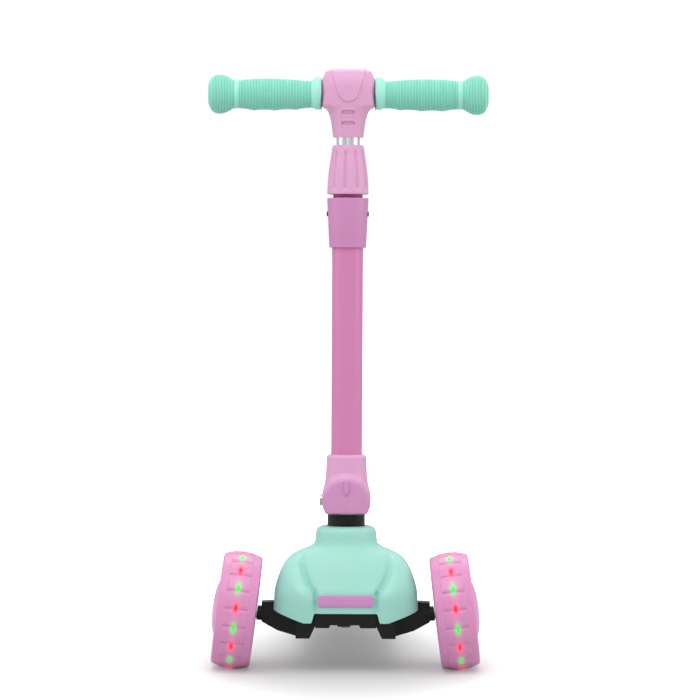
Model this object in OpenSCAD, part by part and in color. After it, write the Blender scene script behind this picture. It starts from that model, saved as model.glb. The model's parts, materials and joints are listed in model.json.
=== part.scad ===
// Three-wheeled lean-to-steer kick scooter for small children.
// Two cambered front wheels, one rear wheel with a foot brake, a folding stem and a T-bar of
// adjustable height. Millimetres, +Z up, the front faces -Y, origin on the floor under the middle.

/* [Wheels] */
// Diameter of each front wheel
front_wheel_d = 120; // [100:1:144]
// Width of each front wheel's tread
front_wheel_w = 40; // [32:1:48]
// Distance between the middles of the front wheels
track = 224; // [224:1:280]
// Lean of each front wheel, its top inwards
camber = 7; // [0:0.5:9]
// Diameter of the rear wheel
rear_wheel_d = 80; // [70:1:96]
// Width of the rear wheel's tread
rear_wheel_w = 40; // [32:1:48]
// Distance from the front axle to the rear axle
wheelbase = 445; // [360:1:540]

/* [Deck] */
// Width of the deck board
deck_w = 110; // [92:1:132]
// Thickness of the deck board
deck_t = 16; // [14:0.5:20]

/* [Stem] */
// Height of the folding hinge above the front axle
hinge_rise = 113; // [112:1:136]
// Lean of the stem towards the rider
stem_lean = 3; // [0:0.5:8]
// Outside diameter of the lower stem tube
stem_d = 32; // [30:0.5:34]
// Distance from the folding hinge to the top of the upper sleeve
sleeve_top = 310.4; // [258:0.1:373]
// Diameter of the sliding inner tube
inner_d = 24; // [20:0.5:26]
// Diameter of the folding hinge's bolt
bolt_d = 8; // [6.5:0.1:9.6]

/* [Handlebar] */
// Length of the handlebar over its end knobs
bar_len = 288; // [240:1:346]
// Diameter of the bar tube inside the grips
bar_d = 20; // [16:0.5:22]

/* [Hidden] */
$fn = 48;

run_gap = 0.05;   // radial clearance of every running fit
side_gap = 0.3;   // clearance between faces that pass each other
far = 400;        // reach of a cut that has to pass right through

front_r = front_wheel_d / 2;
rear_r = rear_wheel_d / 2;
tail_reach = rear_r + 15;
total_len = front_r + wheelbase + tail_reach;
front_y = front_r - total_len / 2;
rear_y = front_y + wheelbase;

// Folding hinge
hinge_y = front_y + 12;
hinge_z = front_r + hinge_rise;
knuckle_w = 16;
knuckle_r = 13;
neck_r = 19.3;
neck_top = -15;
neck_end = -76;
collar_top = -28;
bolt_r = bolt_d / 2;

// Stem
stem_r = stem_d / 2;
plug_r = stem_r - 1.5;
plug_z = 28;
plug_len = 34;
inner_r = inner_d / 2;
sleeve_h = 51;
sleeve_r_low = 18.9;
ring_h = 3.8;
twist_z = sleeve_top + ring_h;
twist_h = 50.5;
twist_r_low = 21.3;
twist_r_top = 16.3;
thread_r = 15.2;
thread_h = 32;
screw_reach = 21.6;   // heads of the cross screws from the middle
screw_drop = 16.2;   // cross screws below the sleeve's top
house_open = 21;     // top of the housing's rear opening

// Fold housing, pad and lock lever
house_low = -13.4;
house_top = 47.5;
house_r_low = 24;
house_r_top = 20.9;
house_bore = 20.2;
boss_r = 7.5;
boss_x = 23.6;
fork_x = 15;
pad_r = 24.7;
pad_z = -2;
pad_back = -21.8;
pad_t = 5.7;
lever_y = -9;
lever_z = 20;
lever_arm = 8;
lever_tip_r = 1.5;
lever_pin_r = 1.5;
lever_half_w = 7;

// Handlebar, as heights above the hinge along the stem
cap_low = twist_z + twist_h + 8;
bar_z = cap_low + 43.8;
cap_shoulder = bar_z - 13;
cap_crown = bar_z + 25.9;
cap_half_w = 27.4;
cap_depth = 19;
bar_r = bar_d / 2;
ring_t = 0.8;
grip_start = cap_half_w + ring_t;
grip_end = bar_len / 2;
inner_low = plug_z + plug_len + 4;
groove_r = 2.4;

// Wheels and bearings
axle_r = 4;
bearing_r = 11;
bearing_w = 7;
core_r = front_r - 18;
rim_t = 6;
core_half = front_wheel_w / 2 - 2;
seat_in = core_half - 1 - bearing_w;
cap_hole_r = 27.5;
cap_rise = 5;
tread_count = 20;
light_count = 9;
light_r = 2.4;

// Lean-to-steer pivot
king_tilt = 30;
king_z = 2;
king_r = 5;
king_boss_r = 13;
king_half = 10;
bush_t = 5;
bush_r = 12;
king_seat_h = 15;
beam_half = 7;

// Rear wheel and brake
rear_core_r = rear_r - 13;
fork_in = rear_wheel_w / 2 + 2;
fork_t = 8;
brake_y = rear_y - rear_r - 12;
brake_z = rear_r + 24;
brake_pin_r = 3;
barrel_r = 6;
fender_r = rear_r + 5.5;
fender_t = 3;

// Nose, as heights above the front axle
roof_low = 16;
roof_top = 24;
panel_top = 19;
roof_room = roof_top + side_gap;

// Deck
deck_low = rear_r;
deck_top = deck_low + deck_t;
deck_front = front_y + 70;
deck_back = brake_y - 8;
rear_skirt = deck_top - 4 - front_r;   // foot of the nose cover at the deck, above the axle
skirt_y = 30;                          // where the cover's lower edge turns to the deck's height
mat_t = 2.5;
mat_sunk = 1;
tongue_w = 44;
tongue_len = 28;
tongue_t = 6;
frame_bolt_x = 14;
frame_bolt_r = 3;

mint = [0.60, 0.86, 0.78];
light_pink = [0.86, 0.62, 0.78];
deep_pink = [0.80, 0.42, 0.64];
magenta = [0.58, 0.18, 0.44];
tyre_pink = [0.88, 0.60, 0.78];
lilac = [0.86, 0.78, 0.90];
black = [0.13, 0.12, 0.13];
steel = [0.72, 0.73, 0.75];
silver = [0.88, 0.88, 0.91];

// ---- Placing and drawing helpers ----

// A round bar along X, centred
module x_bar(r, length) {
    rotate([0, 90, 0]) cylinder(r = r, h = length, center = true);
}

// A round bar along X between two places
module x_rod(r, from_x, to_x) {
    translate([from_x, 0, 0]) rotate([0, 90, 0]) cylinder(r = r, h = to_x - from_x);
}

// A box from one corner to the opposite one
module block(low, high) {
    translate(low) cube(high - low);
}

// A flat outline with rounded corners, centred
module rounded(w, h, r) {
    square([w - 2 * r, h], center = true);
    square([w, h - 2 * r], center = true);
    for (sx = [-1, 1])
        for (sy = [-1, 1])
            translate([sx * (w / 2 - r), sy * (h / 2 - r)]) circle(r = r);
}

// An outline drawn across X and Z, made solid along Y
module xz_plate(from_y, to_y) {
    translate([0, to_y, 0]) rotate([90, 0, 0]) linear_extrude(height = to_y - from_y) children();
}

// An outline drawn across Y and Z, made solid along X and centred
module yz_plate(w) {
    rotate([90, 0, 90]) linear_extrude(height = w, center = true) children();
}

// Stem coordinates: the folding hinge is the origin and Z runs up the stem
module on_stem() {
    translate([0, hinge_y, hinge_z]) rotate([-stem_lean, 0, 0]) children();
}

// Nose coordinates: the middle of the front axle is the origin
module on_nose() {
    translate([0, front_y, front_r]) children();
}

// King pivot coordinates: Z runs up the inclined steering axis
module on_king() {
    on_nose() translate([0, 0, king_z]) rotate([king_tilt, 0, 0]) children();
}

// Front wheel coordinates: Z runs outwards along the wheel's axle
module on_wheel(side) {
    mirror([side < 0 ? 1 : 0, 0, 0])
        translate([track / 2, front_y, front_r])
            rotate([0, 90 - camber, 0])
                children();
}

// Rear wheel coordinates: Z runs along the rear axle
module on_rear() {
    translate([0, rear_y, rear_r]) rotate([0, 90, 0]) children();
}

// ---- Deck and nose ----

module deck_frame() {
    bay_count = 5;
    bay_pitch = (deck_back - deck_front - 72) / bay_count;
    color(black)
    difference() {
        union() {
            translate([0, (deck_front + deck_back) / 2, deck_low])
                linear_extrude(height = deck_t) rounded(deck_w, deck_back - deck_front, 14);
            // rear fork with its axle eyes
            for (side = [-1, 1])
                translate([side * (fork_in + fork_t / 2), 0, 0]) {
                    translate([0, (deck_back - 20 + rear_y) / 2, rear_r + 1])
                        cube([fork_t, rear_y - deck_back + 20, 18], center = true);
                    translate([0, rear_y, rear_r]) x_bar(12, fork_t);
                    // ears that hold the brake pin
                    translate([0, brake_y, brake_z]) x_bar(barrel_r, fork_t);
                    translate([0, brake_y, (brake_z + deck_low) / 2])
                        cube([fork_t, 2 * barrel_r, brake_z - deck_low], center = true);
                }
        }
        // hollow underside between ribs
        for (i = [0 : bay_count - 1])
            for (side = [-1, 1])
                translate([side * (deck_w - 14) / 4, deck_front + 42 + (i + 0.5) * bay_pitch, deck_low])
                    cube([(deck_w - 14) / 2 - 6, bay_pitch - 5, 2 * (deck_t - 6)], center = true);
        // bed of the mat
        translate([0, (deck_front + deck_back) / 2 + 6, deck_top - mat_sunk])
            linear_extrude(height = mat_t) rounded(deck_w - 16, deck_back - deck_front - 40, 10);
        // pocket for the nose frame's tongue, and its bolts
        block([-tongue_w / 2, deck_front - 1, deck_low + 4],
            [tongue_w / 2, deck_front + tongue_len, deck_low + 4 + tongue_t]);
        for (side = [-1, 1])
            translate([side * frame_bolt_x, deck_front + tongue_len / 2, deck_low - 1])
                cylinder(r = frame_bolt_r, h = deck_t);
        translate([0, rear_y, rear_r]) x_bar(axle_r, far);
        translate([0, brake_y, brake_z]) x_bar(brake_pin_r, far);
        // room for the brake's barrel
        translate([0, brake_y, brake_z]) x_bar(barrel_r + 1, 2 * fork_in);
    }
}

module grip_mat() {
    mat_w = deck_w - 16;
    mat_len = deck_back - deck_front - 40;
    color([0.30, 0.29, 0.31])
    translate([0, (deck_front + deck_back) / 2 + 6, deck_top - mat_sunk])
        union() {
            linear_extrude(height = mat_t) rounded(mat_w, mat_len, 10);
            // raised grip bars
            for (i = [-8 : 8])
                translate([0, i * (mat_len - 30) / 16, mat_t])
                    linear_extrude(height = 0.8) rounded(mat_w - 24, 5, 2.4);
        }
}

module nose_frame() {
    tongue_y = deck_front - front_y;
    deck_low_n = deck_low - front_r;
    seat_low = king_half + bush_t;
    color(black)
    difference() {
        union() {
            // roof over the truck
            on_nose() block([-30, -36, roof_low], [30, tongue_y, roof_top]);
            // front panel seen under the cover's notch, with its stepped lower edge
            on_nose() xz_plate(-40, -34)
                polygon([[-31, -12.5], [-17, -12.5], [-15.5, -9.5], [-9, -9.5], [-7.5, -11], [4, -11],
                    [5, -9.5], [13.5, -9.5], [15, -12.5], [31, -12.5], [31, panel_top], [-31, panel_top]]);
            // lugs on both sides of the panel
            on_nose() for (side = [-1, 1])
                xz_plate(-36, -25)
                    polygon([[side * 51, -24], [side * 37, -24], [side * 31, -11], [side * 30, 14],
                        [side * 51, 10]]);
            // rear wall and the tongue that enters the deck
            on_nose() block([-30, 27, deck_low_n + 2], [30, tongue_y, roof_top]);
            on_nose() block([-tongue_w / 2, tongue_y - 5, deck_low_n + 4],
                [tongue_w / 2, tongue_y + tongue_len, deck_low_n + 4 + tongue_t]);
            // seat of the king pivot
            on_king() translate([0, 0, seat_low]) cylinder(r = 16, h = king_seat_h);
            // socket of the neck
            on_stem() translate([0, 0, neck_end - 20]) cylinder(r = 24, h = 36);
        }
        on_stem() translate([0, 0, neck_end]) cylinder(r = neck_r, h = far);
        on_king() cylinder(r = king_r, h = far, center = true);
        on_king() translate([0, 0, seat_low + king_seat_h]) cylinder(r = 9, h = 40);
        // room for the bush and the swinging beam
        on_king() translate([0, 0, -30]) cylinder(r = 17.5, h = 30 + seat_low);
        for (side = [-1, 1])
            translate([side * frame_bolt_x, deck_front + tongue_len / 2, 0])
                cylinder(r = frame_bolt_r, h = deck_top);
    }
}

module frame_bolts() {
    color(steel)
    for (side = [-1, 1])
        translate([side * frame_bolt_x, deck_front + tongue_len / 2, deck_low - 2.5])
            union() {
                cylinder(r = frame_bolt_r + 2.5, h = 2.5);
                cylinder(r = frame_bolt_r, h = 2.5 + deck_t - 1);
            }
}

// The nose cover's outer form, drawn smaller by skin
module cover_form(skin) {
    hull() {
        for (side = [-1, 1]) {
            translate([side * 38, 4, 32]) sphere(r = 30 - skin, $fn = 32);
            translate([side * 43.5, -14, -8 - skin]) cylinder(r = 30 - skin, h = 28 + skin, $fn = 32);
            translate([side * 34, 50, rear_skirt - skin])
                cylinder(r = 22 - skin, h = 14 - rear_skirt + skin, $fn = 32);
            translate([side * 24, 44, 26]) sphere(r = 20 - skin, $fn = 32);
        }
        translate([0, 8, 52]) cylinder(r = 31 - skin, h = 13 - skin, $fn = 32);
    }
}

// What lies below the cover's lower edge, with its two points and the notch between them
module below_edge() {
    polygon([[-90, 4], [-73.5, 4], [-44, -7], [-36, -7], [-32, 3], [32, 3], [36, -7], [44, -7],
        [73.5, 4], [90, 4], [90, -60], [-90, -60]]);
}

module nose_cover() {
    skin = 2.6;
    edge_drop = rear_skirt + 8;
    collar_low = -50;
    color(mint)
    difference() {
        union() {
            on_nose() cover_form(0);
            on_stem() translate([0, 0, collar_low]) cylinder(r = 31, h = collar_top - 3 - collar_low);
            on_stem() translate([0, 0, collar_top - 3]) cylinder(r1 = 31, r2 = 28.5, h = 3);
        }
        on_nose() cover_form(skin);
        on_stem() translate([0, 0, collar_low - 10])
            cylinder(r = 31 - skin, h = collar_top - skin - collar_low + 10);
        on_stem() translate([0, 0, neck_end]) cylinder(r = neck_r + 0.35, h = far);
        // lower edge, which follows the deck at the back
        on_nose() xz_plate(-far, skirt_y) below_edge();
        on_nose() translate([0, 0, edge_drop]) xz_plate(skirt_y, far) below_edge();
        // arches for the steering arms
        for (side = [-1, 1])
            on_nose() translate([side * 72, 0, 4]) cube([50, 46, 32], center = true);
        // rear opening over the deck
        block([-31, deck_front - 40, 0], [31, deck_front + 60, front_r + roof_room]);
        block([-far, deck_front, 0], [far, deck_front + 60, deck_top + 0.5]);
    }
}

module badge() {
    color([0.80, 0.58, 0.78])
    on_nose() translate([0, 0, 16]) xz_plate(-45.5, -44) rounded(57, 11.8, 3);
}

module neck_post() {
    color(black)
    on_stem()
        difference() {
            translate([0, 0, neck_end]) cylinder(r = neck_r, h = neck_top - neck_end);
            block([-knuckle_w / 2, -11, neck_top - 30], [knuckle_w / 2, 11, neck_top + 1]);
        }
}

module knuckle() {
    color(steel)
    on_stem()
        difference() {
            union() {
                x_bar(knuckle_r, knuckle_w);
                block([-knuckle_w / 2, -11, neck_top - 30], [knuckle_w / 2, 11, 0]);
            }
            x_bar(bolt_r + run_gap, far);
        }
}

module king_bolt() {
    low = -king_half - bush_t;
    color(steel)
    on_king()
        union() {
            translate([0, 0, low - 5]) cylinder(r = 8, h = 5, $fn = 6);
            translate([0, 0, low - 5]) cylinder(r = king_r, h = 5 - low + king_half + bush_t + king_seat_h + 7);
        }
}

module king_nut() {
    color(steel)
    on_king()
        translate([0, 0, king_half + bush_t + king_seat_h])
            difference() {
                cylinder(r = 7.4, h = 5, $fn = 6);
                translate([0, 0, -1]) cylinder(r = king_r, h = 10);
            }
}

module king_bushes() {
    color([0.85, 0.82, 0.72])
    on_king()
        for (low = [-king_half - bush_t, king_half])
            translate([0, 0, low + side_gap / 2])
                difference() {
                    cylinder(r = bush_r, h = bush_t - side_gap);
                    translate([0, 0, -1]) cylinder(r = king_r, h = bush_t + 2);
                }
}

// ---- Truck with the two axles ----

module truck_beam() {
    wheel_in = track / 2 - (front_wheel_w / 2 + 5) * cos(camber);
    stub_z = -(front_wheel_w / 2 + 5) * sin(camber);
    color(black)
    difference() {
        union() {
            on_nose() for (side = [-1, 1])
                xz_plate(-beam_half, beam_half)
                    polygon([[0, -14], [side * 33, -15], [side * 42, -25], [side * 52, -25.5],
                        [side * (wheel_in - 17), -20], [side * (wheel_in - 0.8), stub_z - 8],
                        [side * (wheel_in - 0.8), stub_z + 12], [side * (wheel_in - 12), stub_z + 12.6],
                        [side * 50, 6], [side * 20, 8], [0, 8]]);
            for (side = [-1, 1])
                on_wheel(side) translate([0, 0, -front_wheel_w / 2 - 16])
                    cylinder(r = 7.5, h = 15);
            on_king() translate([0, 0, -king_half]) cylinder(r = king_boss_r, h = 2 * king_half);
        }
        on_king() cylinder(r = king_r + run_gap, h = far, center = true);
        on_king() translate([0, 0, king_half]) cylinder(r = 16.5, h = 40);
        on_king() translate([0, 0, -king_half - 40]) cylinder(r = 14, h = 40);
        for (side = [-1, 1])
            on_wheel(side) translate([0, 0, -front_wheel_w / 2 - 30]) cylinder(r = axle_r, h = 60);
    }
}

module axle_shafts() {
    shaft_in = -front_wheel_w / 2 - 30;
    color(steel)
    for (side = [-1, 1])
        on_wheel(side)
            union() {
                translate([0, 0, shaft_in]) cylinder(r = axle_r, h = core_half + 3 - shaft_in);
                translate([0, 0, -front_wheel_w / 2 - 1])
                    cylinder(r = 5.5, h = front_wheel_w / 2 + 1 - core_half + 1 - side_gap);
            }
}

module axle_nuts() {
    color(steel)
    for (side = [-1, 1])
        on_wheel(side)
            translate([0, 0, core_half - 1 + side_gap])
                difference() {
                    cylinder(r = 6.8, h = 3.6, $fn = 6);
                    translate([0, 0, -1]) cylinder(r = axle_r, h = 6);
                }
}

// ---- Front wheels ----

module front_tyre() {
    color(tyre_pink)
    difference() {
        rotate_extrude()
            difference() {
                intersection() {
                    circle(r = front_r);
                    polygon([[core_r, -front_wheel_w / 2], [front_r - 6, -front_wheel_w / 2],
                        [front_r - 3.4, 1.6 - front_wheel_w / 2], [front_r + 1, 6 - front_wheel_w / 2],
                        [front_r + 1, front_wheel_w / 2 - 6], [front_r - 3.4, front_wheel_w / 2 - 1.6],
                        [front_r - 6, front_wheel_w / 2], [core_r, front_wheel_w / 2]]);
                }
                square([2 * core_r, 2 * core_half], center = true);
            }
        for (i = [0 : tread_count - 1])
            rotate([0, 0, i * 360 / tread_count])
                translate([front_r, 0, 0]) cube([2.4, 2.6, front_wheel_w * 0.58], center = true);
    }
}

module front_core() {
    color(lilac)
    difference() {
        union() {
            rotate_extrude()
                difference() {
                    translate([0, -core_half]) square([core_r, 2 * core_half]);
                    // hollow between the boss and the rim, closed on the inner side
                    translate([14, 4 - core_half]) square([core_r - rim_t - 14, 2 * core_half - 8]);
                    translate([-1, core_half - 4]) square([cap_hole_r + 1, 5]);
                }
            for (i = [0 : 5])
                rotate([0, 0, i * 60])
                    translate([13, -1.5, 1 - core_half])
                        cube([core_r - rim_t - 12, 3, 2 * core_half - 6]);
        }
        // bearing seats and the bore between them
        cylinder(r = 9, h = far, center = true);
        translate([0, 0, -core_half - 1]) cylinder(r = bearing_r, h = core_half + 1 - seat_in);
        translate([0, 0, seat_in]) cylinder(r = bearing_r, h = core_half + 1);
        for (i = [0 : 2 * light_count - 1])
            rotate([0, 0, i * 180 / light_count])
                translate([core_r - rim_t - 1, 0, 0]) rotate([0, 90, 0]) cylinder(r = light_r, h = rim_t + 2);
    }
}

// The dome of a hub cap, as points from its rim to its crown
function dome_points(face) = [
    for (i = [0 : 6]) [cap_hole_r * cos(15 * i), face + cap_rise * sin(15 * i)]
];

module front_cap() {
    face = front_wheel_w / 2;
    color(tyre_pink)
    rotate_extrude()
        difference() {
            polygon(concat([[0, core_half - 4], [cap_hole_r, core_half - 4]], dome_points(face)));
            translate([-1, core_half - 5]) square([cap_hole_r - 1.5, face - core_half + 5]);
            translate([-1, face - 1]) square([13, cap_rise - 1.5]);
        }
}

module front_lights(first, tint) {
    color(tint)
    for (i = [0 : light_count - 1])
        rotate([0, 0, (2 * i + first) * 180 / light_count])
            translate([core_r - rim_t, 0, 0]) rotate([0, 90, 0]) cylinder(r = light_r, h = rim_t - 0.2);
}

module front_bearings() {
    color(steel)
    for (low = [1 - core_half, seat_in])
        translate([0, 0, low])
            difference() {
                cylinder(r = bearing_r, h = bearing_w);
                translate([0, 0, -1]) cylinder(r = axle_r + run_gap, h = bearing_w + 2);
            }
}

module front_spacer() {
    color(silver)
    difference() {
        cylinder(r = 6.2, h = 2 * seat_in, center = true);
        cylinder(r = axle_r + run_gap, h = far, center = true);
    }
}

module tyre_left() { on_wheel(-1) front_tyre(); }
module tyre_right() { on_wheel(1) front_tyre(); }
module core_left() { on_wheel(-1) front_core(); }
module core_right() { on_wheel(1) front_core(); }
module hub_cap_left() { on_wheel(-1) front_cap(); }
module hub_cap_right() { on_wheel(1) front_cap(); }
module red_lights_left() { on_wheel(-1) front_lights(1, [0.94, 0.15, 0.24]); }
module red_lights_right() { on_wheel(1) front_lights(1, [0.94, 0.15, 0.24]); }
module green_lights_left() { on_wheel(-1) front_lights(0, [0.18, 0.88, 0.35]); }
module green_lights_right() { on_wheel(1) front_lights(0, [0.18, 0.88, 0.35]); }
module bearings_left() { on_wheel(-1) front_bearings(); }
module bearings_right() { on_wheel(1) front_bearings(); }
module spacer_left() { on_wheel(-1) front_spacer(); }
module spacer_right() { on_wheel(1) front_spacer(); }

// ---- Rear wheel and brake ----

module rear_tyre() {
    half = rear_wheel_w / 2;
    color(tyre_pink)
    on_rear()
        rotate_extrude()
            difference() {
                intersection() {
                    circle(r = rear_r);
                    polygon([[rear_core_r, -half], [rear_r - 8, -half], [rear_r + 1, 7 - half],
                        [rear_r + 1, half - 7], [rear_r - 8, half], [rear_core_r, half]]);
                }
                square([2 * rear_core_r, 2 * half - 2], center = true);
            }
}

module rear_core() {
    half = rear_wheel_w / 2 - 1;
    color(lilac)
    on_rear()
        difference() {
            cylinder(r = rear_core_r, h = 2 * half, center = true);
            for (side = [-1, 1])
                translate([0, 0, side * (half - 2)])
                    difference() {
                        cylinder(r = rear_core_r - 5, h = 10, center = true);
                        cylinder(r = 15, h = 12, center = true);
                    }
            cylinder(r = 9, h = far, center = true);
            for (side = [-1, 1])
                translate([0, 0, side * half]) cylinder(r = bearing_r, h = 2 * (bearing_w + 1), center = true);
        }
}

module rear_bearings() {
    half = rear_wheel_w / 2 - 1;
    color(steel)
    on_rear()
        for (side = [-1, 1])
            translate([0, 0, side * (half - 1 - bearing_w / 2)])
                difference() {
                    cylinder(r = bearing_r, h = bearing_w, center = true);
                    cylinder(r = axle_r + run_gap, h = far, center = true);
                }
}

module rear_spacer() {
    color(silver)
    on_rear()
        difference() {
            cylinder(r = 6.2, h = rear_wheel_w - 4 - 2 * bearing_w, center = true);
            cylinder(r = axle_r + run_gap, h = far, center = true);
        }
}

module rear_axle() {
    reach = fork_in + fork_t;
    color(steel)
    translate([0, rear_y, rear_r])
        union() {
            x_rod(axle_r, -reach, reach + 6);
            x_rod(7, -reach - 4, -reach);
            // shoulders that keep the wheel in the middle
            x_rod(5.5, -fork_in, -rear_wheel_w / 2 + 2 - side_gap);
            x_rod(5.5, rear_wheel_w / 2 - 2 + side_gap, fork_in);
        }
}

module rear_axle_nut() {
    reach = fork_in + fork_t;
    color(steel)
    translate([reach, rear_y, rear_r]) rotate([0, 90, 0])
        difference() {
            cylinder(r = 7, h = 5, $fn = 6);
            translate([0, 0, -1]) cylinder(r = axle_r, h = 8);
        }
}

module brake_pin() {
    color(steel)
    translate([0, brake_y, brake_z]) x_bar(brake_pin_r, 2 * (fork_in + fork_t) + 2);
}

module brake_fender() {
    start = 24;
    stop = 148;
    fender_w = 2 * fork_in + 6;
    front_end_y = (fender_r + fender_t / 2) * cos(stop);
    front_end_z = (fender_r + fender_t / 2) * sin(stop);
    color(black)
    difference() {
        union() {
            translate([0, rear_y, rear_r])
                yz_plate(fender_w)
                    difference() {
                        circle(r = fender_r + fender_t);
                        circle(r = fender_r);
                        polygon([[0, 0], [2 * far * cos(start), 2 * far * sin(start)], [far, -far],
                            [-far, -far], [2 * far * cos(stop), 2 * far * sin(stop)]]);
                    }
            // arm to the barrel
            translate([0, rear_y, rear_r])
                yz_plate(2 * fork_in - 2)
                    polygon([[brake_y - rear_y, brake_z - rear_r - 2.5], [front_end_y + 1, front_end_z - 1.4],
                        [front_end_y + 4, front_end_z + 5], [brake_y - rear_y, brake_z - rear_r + 4]]);
            translate([0, brake_y, brake_z]) x_bar(barrel_r, 2 * fork_in - 2 * side_gap);
            // lip under the heel
            block([-fender_w / 2 + 4, rear_y + (fender_r + 1) * cos(start), rear_r + fender_r * sin(start)],
                [fender_w / 2 - 4, rear_y + tail_reach, rear_r + fender_r * sin(start) + fender_t]);
            // tread bars
            for (i = [0 : 5])
                translate([0, rear_y, rear_r])
                    rotate([38 + i * 9, 0, 0])
                        translate([0, fender_r + fender_t, 0]) cube([fender_w - 14, 1.6, 3], center = true);
        }
        translate([0, brake_y, brake_z]) x_bar(brake_pin_r + run_gap, far);
    }
}

// ---- Stem and its folding joint ----

module stem_tube() {
    color(deep_pink)
    on_stem()
        difference() {
            translate([0, 0, plug_z]) cylinder(r = stem_r, h = sleeve_top - 9 - plug_z);
            translate([0, 0, plug_z - 1]) cylinder(r = plug_r, h = sleeve_top);
            translate([0, 0, sleeve_top - screw_drop]) x_bar(1.6, far);
        }
}

module fold_fork() {
    color(steel)
    on_stem()
        difference() {
            union() {
                x_bar(knuckle_r, 2 * fork_x);
                block([-fork_x, -knuckle_r, 0], [fork_x, knuckle_r, plug_z]);
                translate([0, 0, plug_z - 0.5]) cylinder(r = plug_r, h = plug_len + 0.5);
            }
            block([-knuckle_w / 2 - side_gap, -20, -20], [knuckle_w / 2 + side_gap, 20, plug_z - 0.2]);
            x_bar(bolt_r, far);
            translate([0, lever_y, lever_z]) x_bar(lever_pin_r, far);
            translate([0, 0, plug_z + 6]) cylinder(r = 9, h = 60);
        }
}

module fold_housing() {
    color(light_pink)
    on_stem()
        difference() {
            union() {
                difference() {
                    union() {
                        translate([0, 0, house_low])
                            cylinder(r1 = house_r_low, r2 = house_r_top, h = house_top - 2 - house_low);
                        translate([0, 0, house_top - 2]) cylinder(r1 = house_r_top, r2 = house_r_top - 2, h = 2);
                    }
                    translate([0, 0, house_low - 1]) cylinder(r = house_bore, h = house_top - 3 - house_low);
                    // flat bed of the pad
                    translate([0, pad_back + 0.2, pad_z]) rotate([90, 0, 0]) cylinder(r = pad_r + 0.6, h = 20);
                    block([-30, -30, house_low - 1], [30, pad_back + 0.2, pad_z]);
                }
                for (side = [-1, 1])
                    x_rod(boss_r, side < 0 ? -boss_x : fork_x, side < 0 ? -fork_x : boss_x);
                // front wall behind the pad
                intersection() {
                    translate([0, 0, house_low]) cylinder(r = house_r_low, h = 40);
                    block([-20, pad_back + 0.2, house_low], [20, pad_back + 2.6, 25]);
                }
            }
            // rear opening, which the neck passes as the stem folds
            block([-neck_r - 0.4, 0.5, house_low - 1], [neck_r + 0.4, 30, house_open]);
            // window for the pad's catch
            block([-5.6, -26, 12], [5.6, -16, 24.7]);
            translate([0, 0, plug_z]) cylinder(r = stem_r, h = far);
            x_bar(bolt_r, far);
            x_rod(5.9, boss_x - 4, boss_x + 5);
        }
}

module hinge_bolt() {
    color(silver)
    on_stem()
        difference() {
            union() {
                x_rod(bolt_r, -boss_x, boss_x - 0.5);
                x_rod(5.8, -boss_x - 3.8, -boss_x);
            }
            translate([-boss_x - 4, 0, 0]) rotate([0, 90, 0]) cylinder(r = 3, h = 2.6, $fn = 6);
        }
}

module hinge_nut() {
    color(steel)
    on_stem()
        translate([boss_x - 4, 0, 0]) rotate([0, 90, 0])
            difference() {
                cylinder(r = 5.9, h = 3.8, $fn = 6);
                translate([0, 0, -1]) cylinder(r = bolt_r, h = 6);
            }
}

module lever_pin() {
    color(steel)
    on_stem() translate([0, lever_y, lever_z]) x_bar(lever_pin_r, 2 * fork_x - 0.4);
}

module release_pad() {
    front = pad_back - pad_t;
    slot_h = 2 * lever_tip_r + 2 * side_gap;
    tip_y = lever_y - lever_arm;
    color(light_pink)
    on_stem()
        difference() {
            union() {
                intersection() {
                    translate([0, pad_back, pad_z]) rotate([90, 0, 0])
                        union() {
                            cylinder(r = pad_r, h = pad_t - 1.5);
                            cylinder(r1 = pad_r, r2 = pad_r - 1.5, h = pad_t);
                        }
                    block([-40, -40, house_low], [40, 0, 40]);
                }
                // catch that holds the lever's end
                block([-5, pad_back - 0.1, lever_z - 4.1], [5, tip_y + lever_tip_r, lever_z + 4.1]);
                // down arrow
                xz_plate(front - 0.6, front + 0.1)
                    polygon([[-2.1, 20], [2.1, 20], [2.1, 12.3], [3.9, 12.3], [0, 5], [-3.9, 12.3],
                        [-2.1, 12.3]]);
            }
            block([-6, tip_y - 2.4, lever_z - slot_h / 2], [6, tip_y + 6, lever_z + slot_h / 2]);
        }
}

module lock_lever() {
    tip_z = knuckle_r + side_gap;
    color(steel)
    on_stem()
        difference() {
            union() {
                translate([0, lever_y, lever_z]) x_bar(3.2, 2 * lever_half_w);
                translate([0, lever_y - lever_arm, lever_z]) x_bar(lever_tip_r, 7);
                block([-3.5, lever_y - lever_arm, lever_z - 0.9], [3.5, lever_y, lever_z + 0.9]);
                block([-lever_half_w, lever_y, lever_z - 2], [lever_half_w, 4, lever_z + 0.8]);
                block([-lever_half_w, -2, tip_z], [lever_half_w, 4, lever_z]);
            }
            translate([0, lever_y, lever_z]) x_bar(lever_pin_r + run_gap, far);
        }
}

module upper_sleeve() {
    low = sleeve_top - sleeve_h;
    color([0.81, 0.53, 0.74])
    on_stem()
        difference() {
            translate([0, 0, low]) cylinder(r1 = sleeve_r_low, r2 = twist_r_low, h = sleeve_h);
            translate([0, 0, low - 1]) cylinder(r = stem_r, h = sleeve_h - 8);
            translate([0, 0, sleeve_top - 10]) cylinder(r = thread_r, h = 20);
            translate([0, 0, sleeve_top - screw_drop]) x_bar(2.6, far);
        }
}

module sleeve_screws() {
    color(black)
    on_stem()
        translate([0, 0, sleeve_top - screw_drop])
            for (side = [-1, 1])
                rotate([0, side * 90, 0])
                    union() {
                        translate([0, 0, stem_r]) cylinder(r = 2.6, h = screw_reach - stem_r);
                        translate([0, 0, plug_r]) cylinder(r = 1.6, h = stem_r - plug_r + 1);
                    }
}

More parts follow.
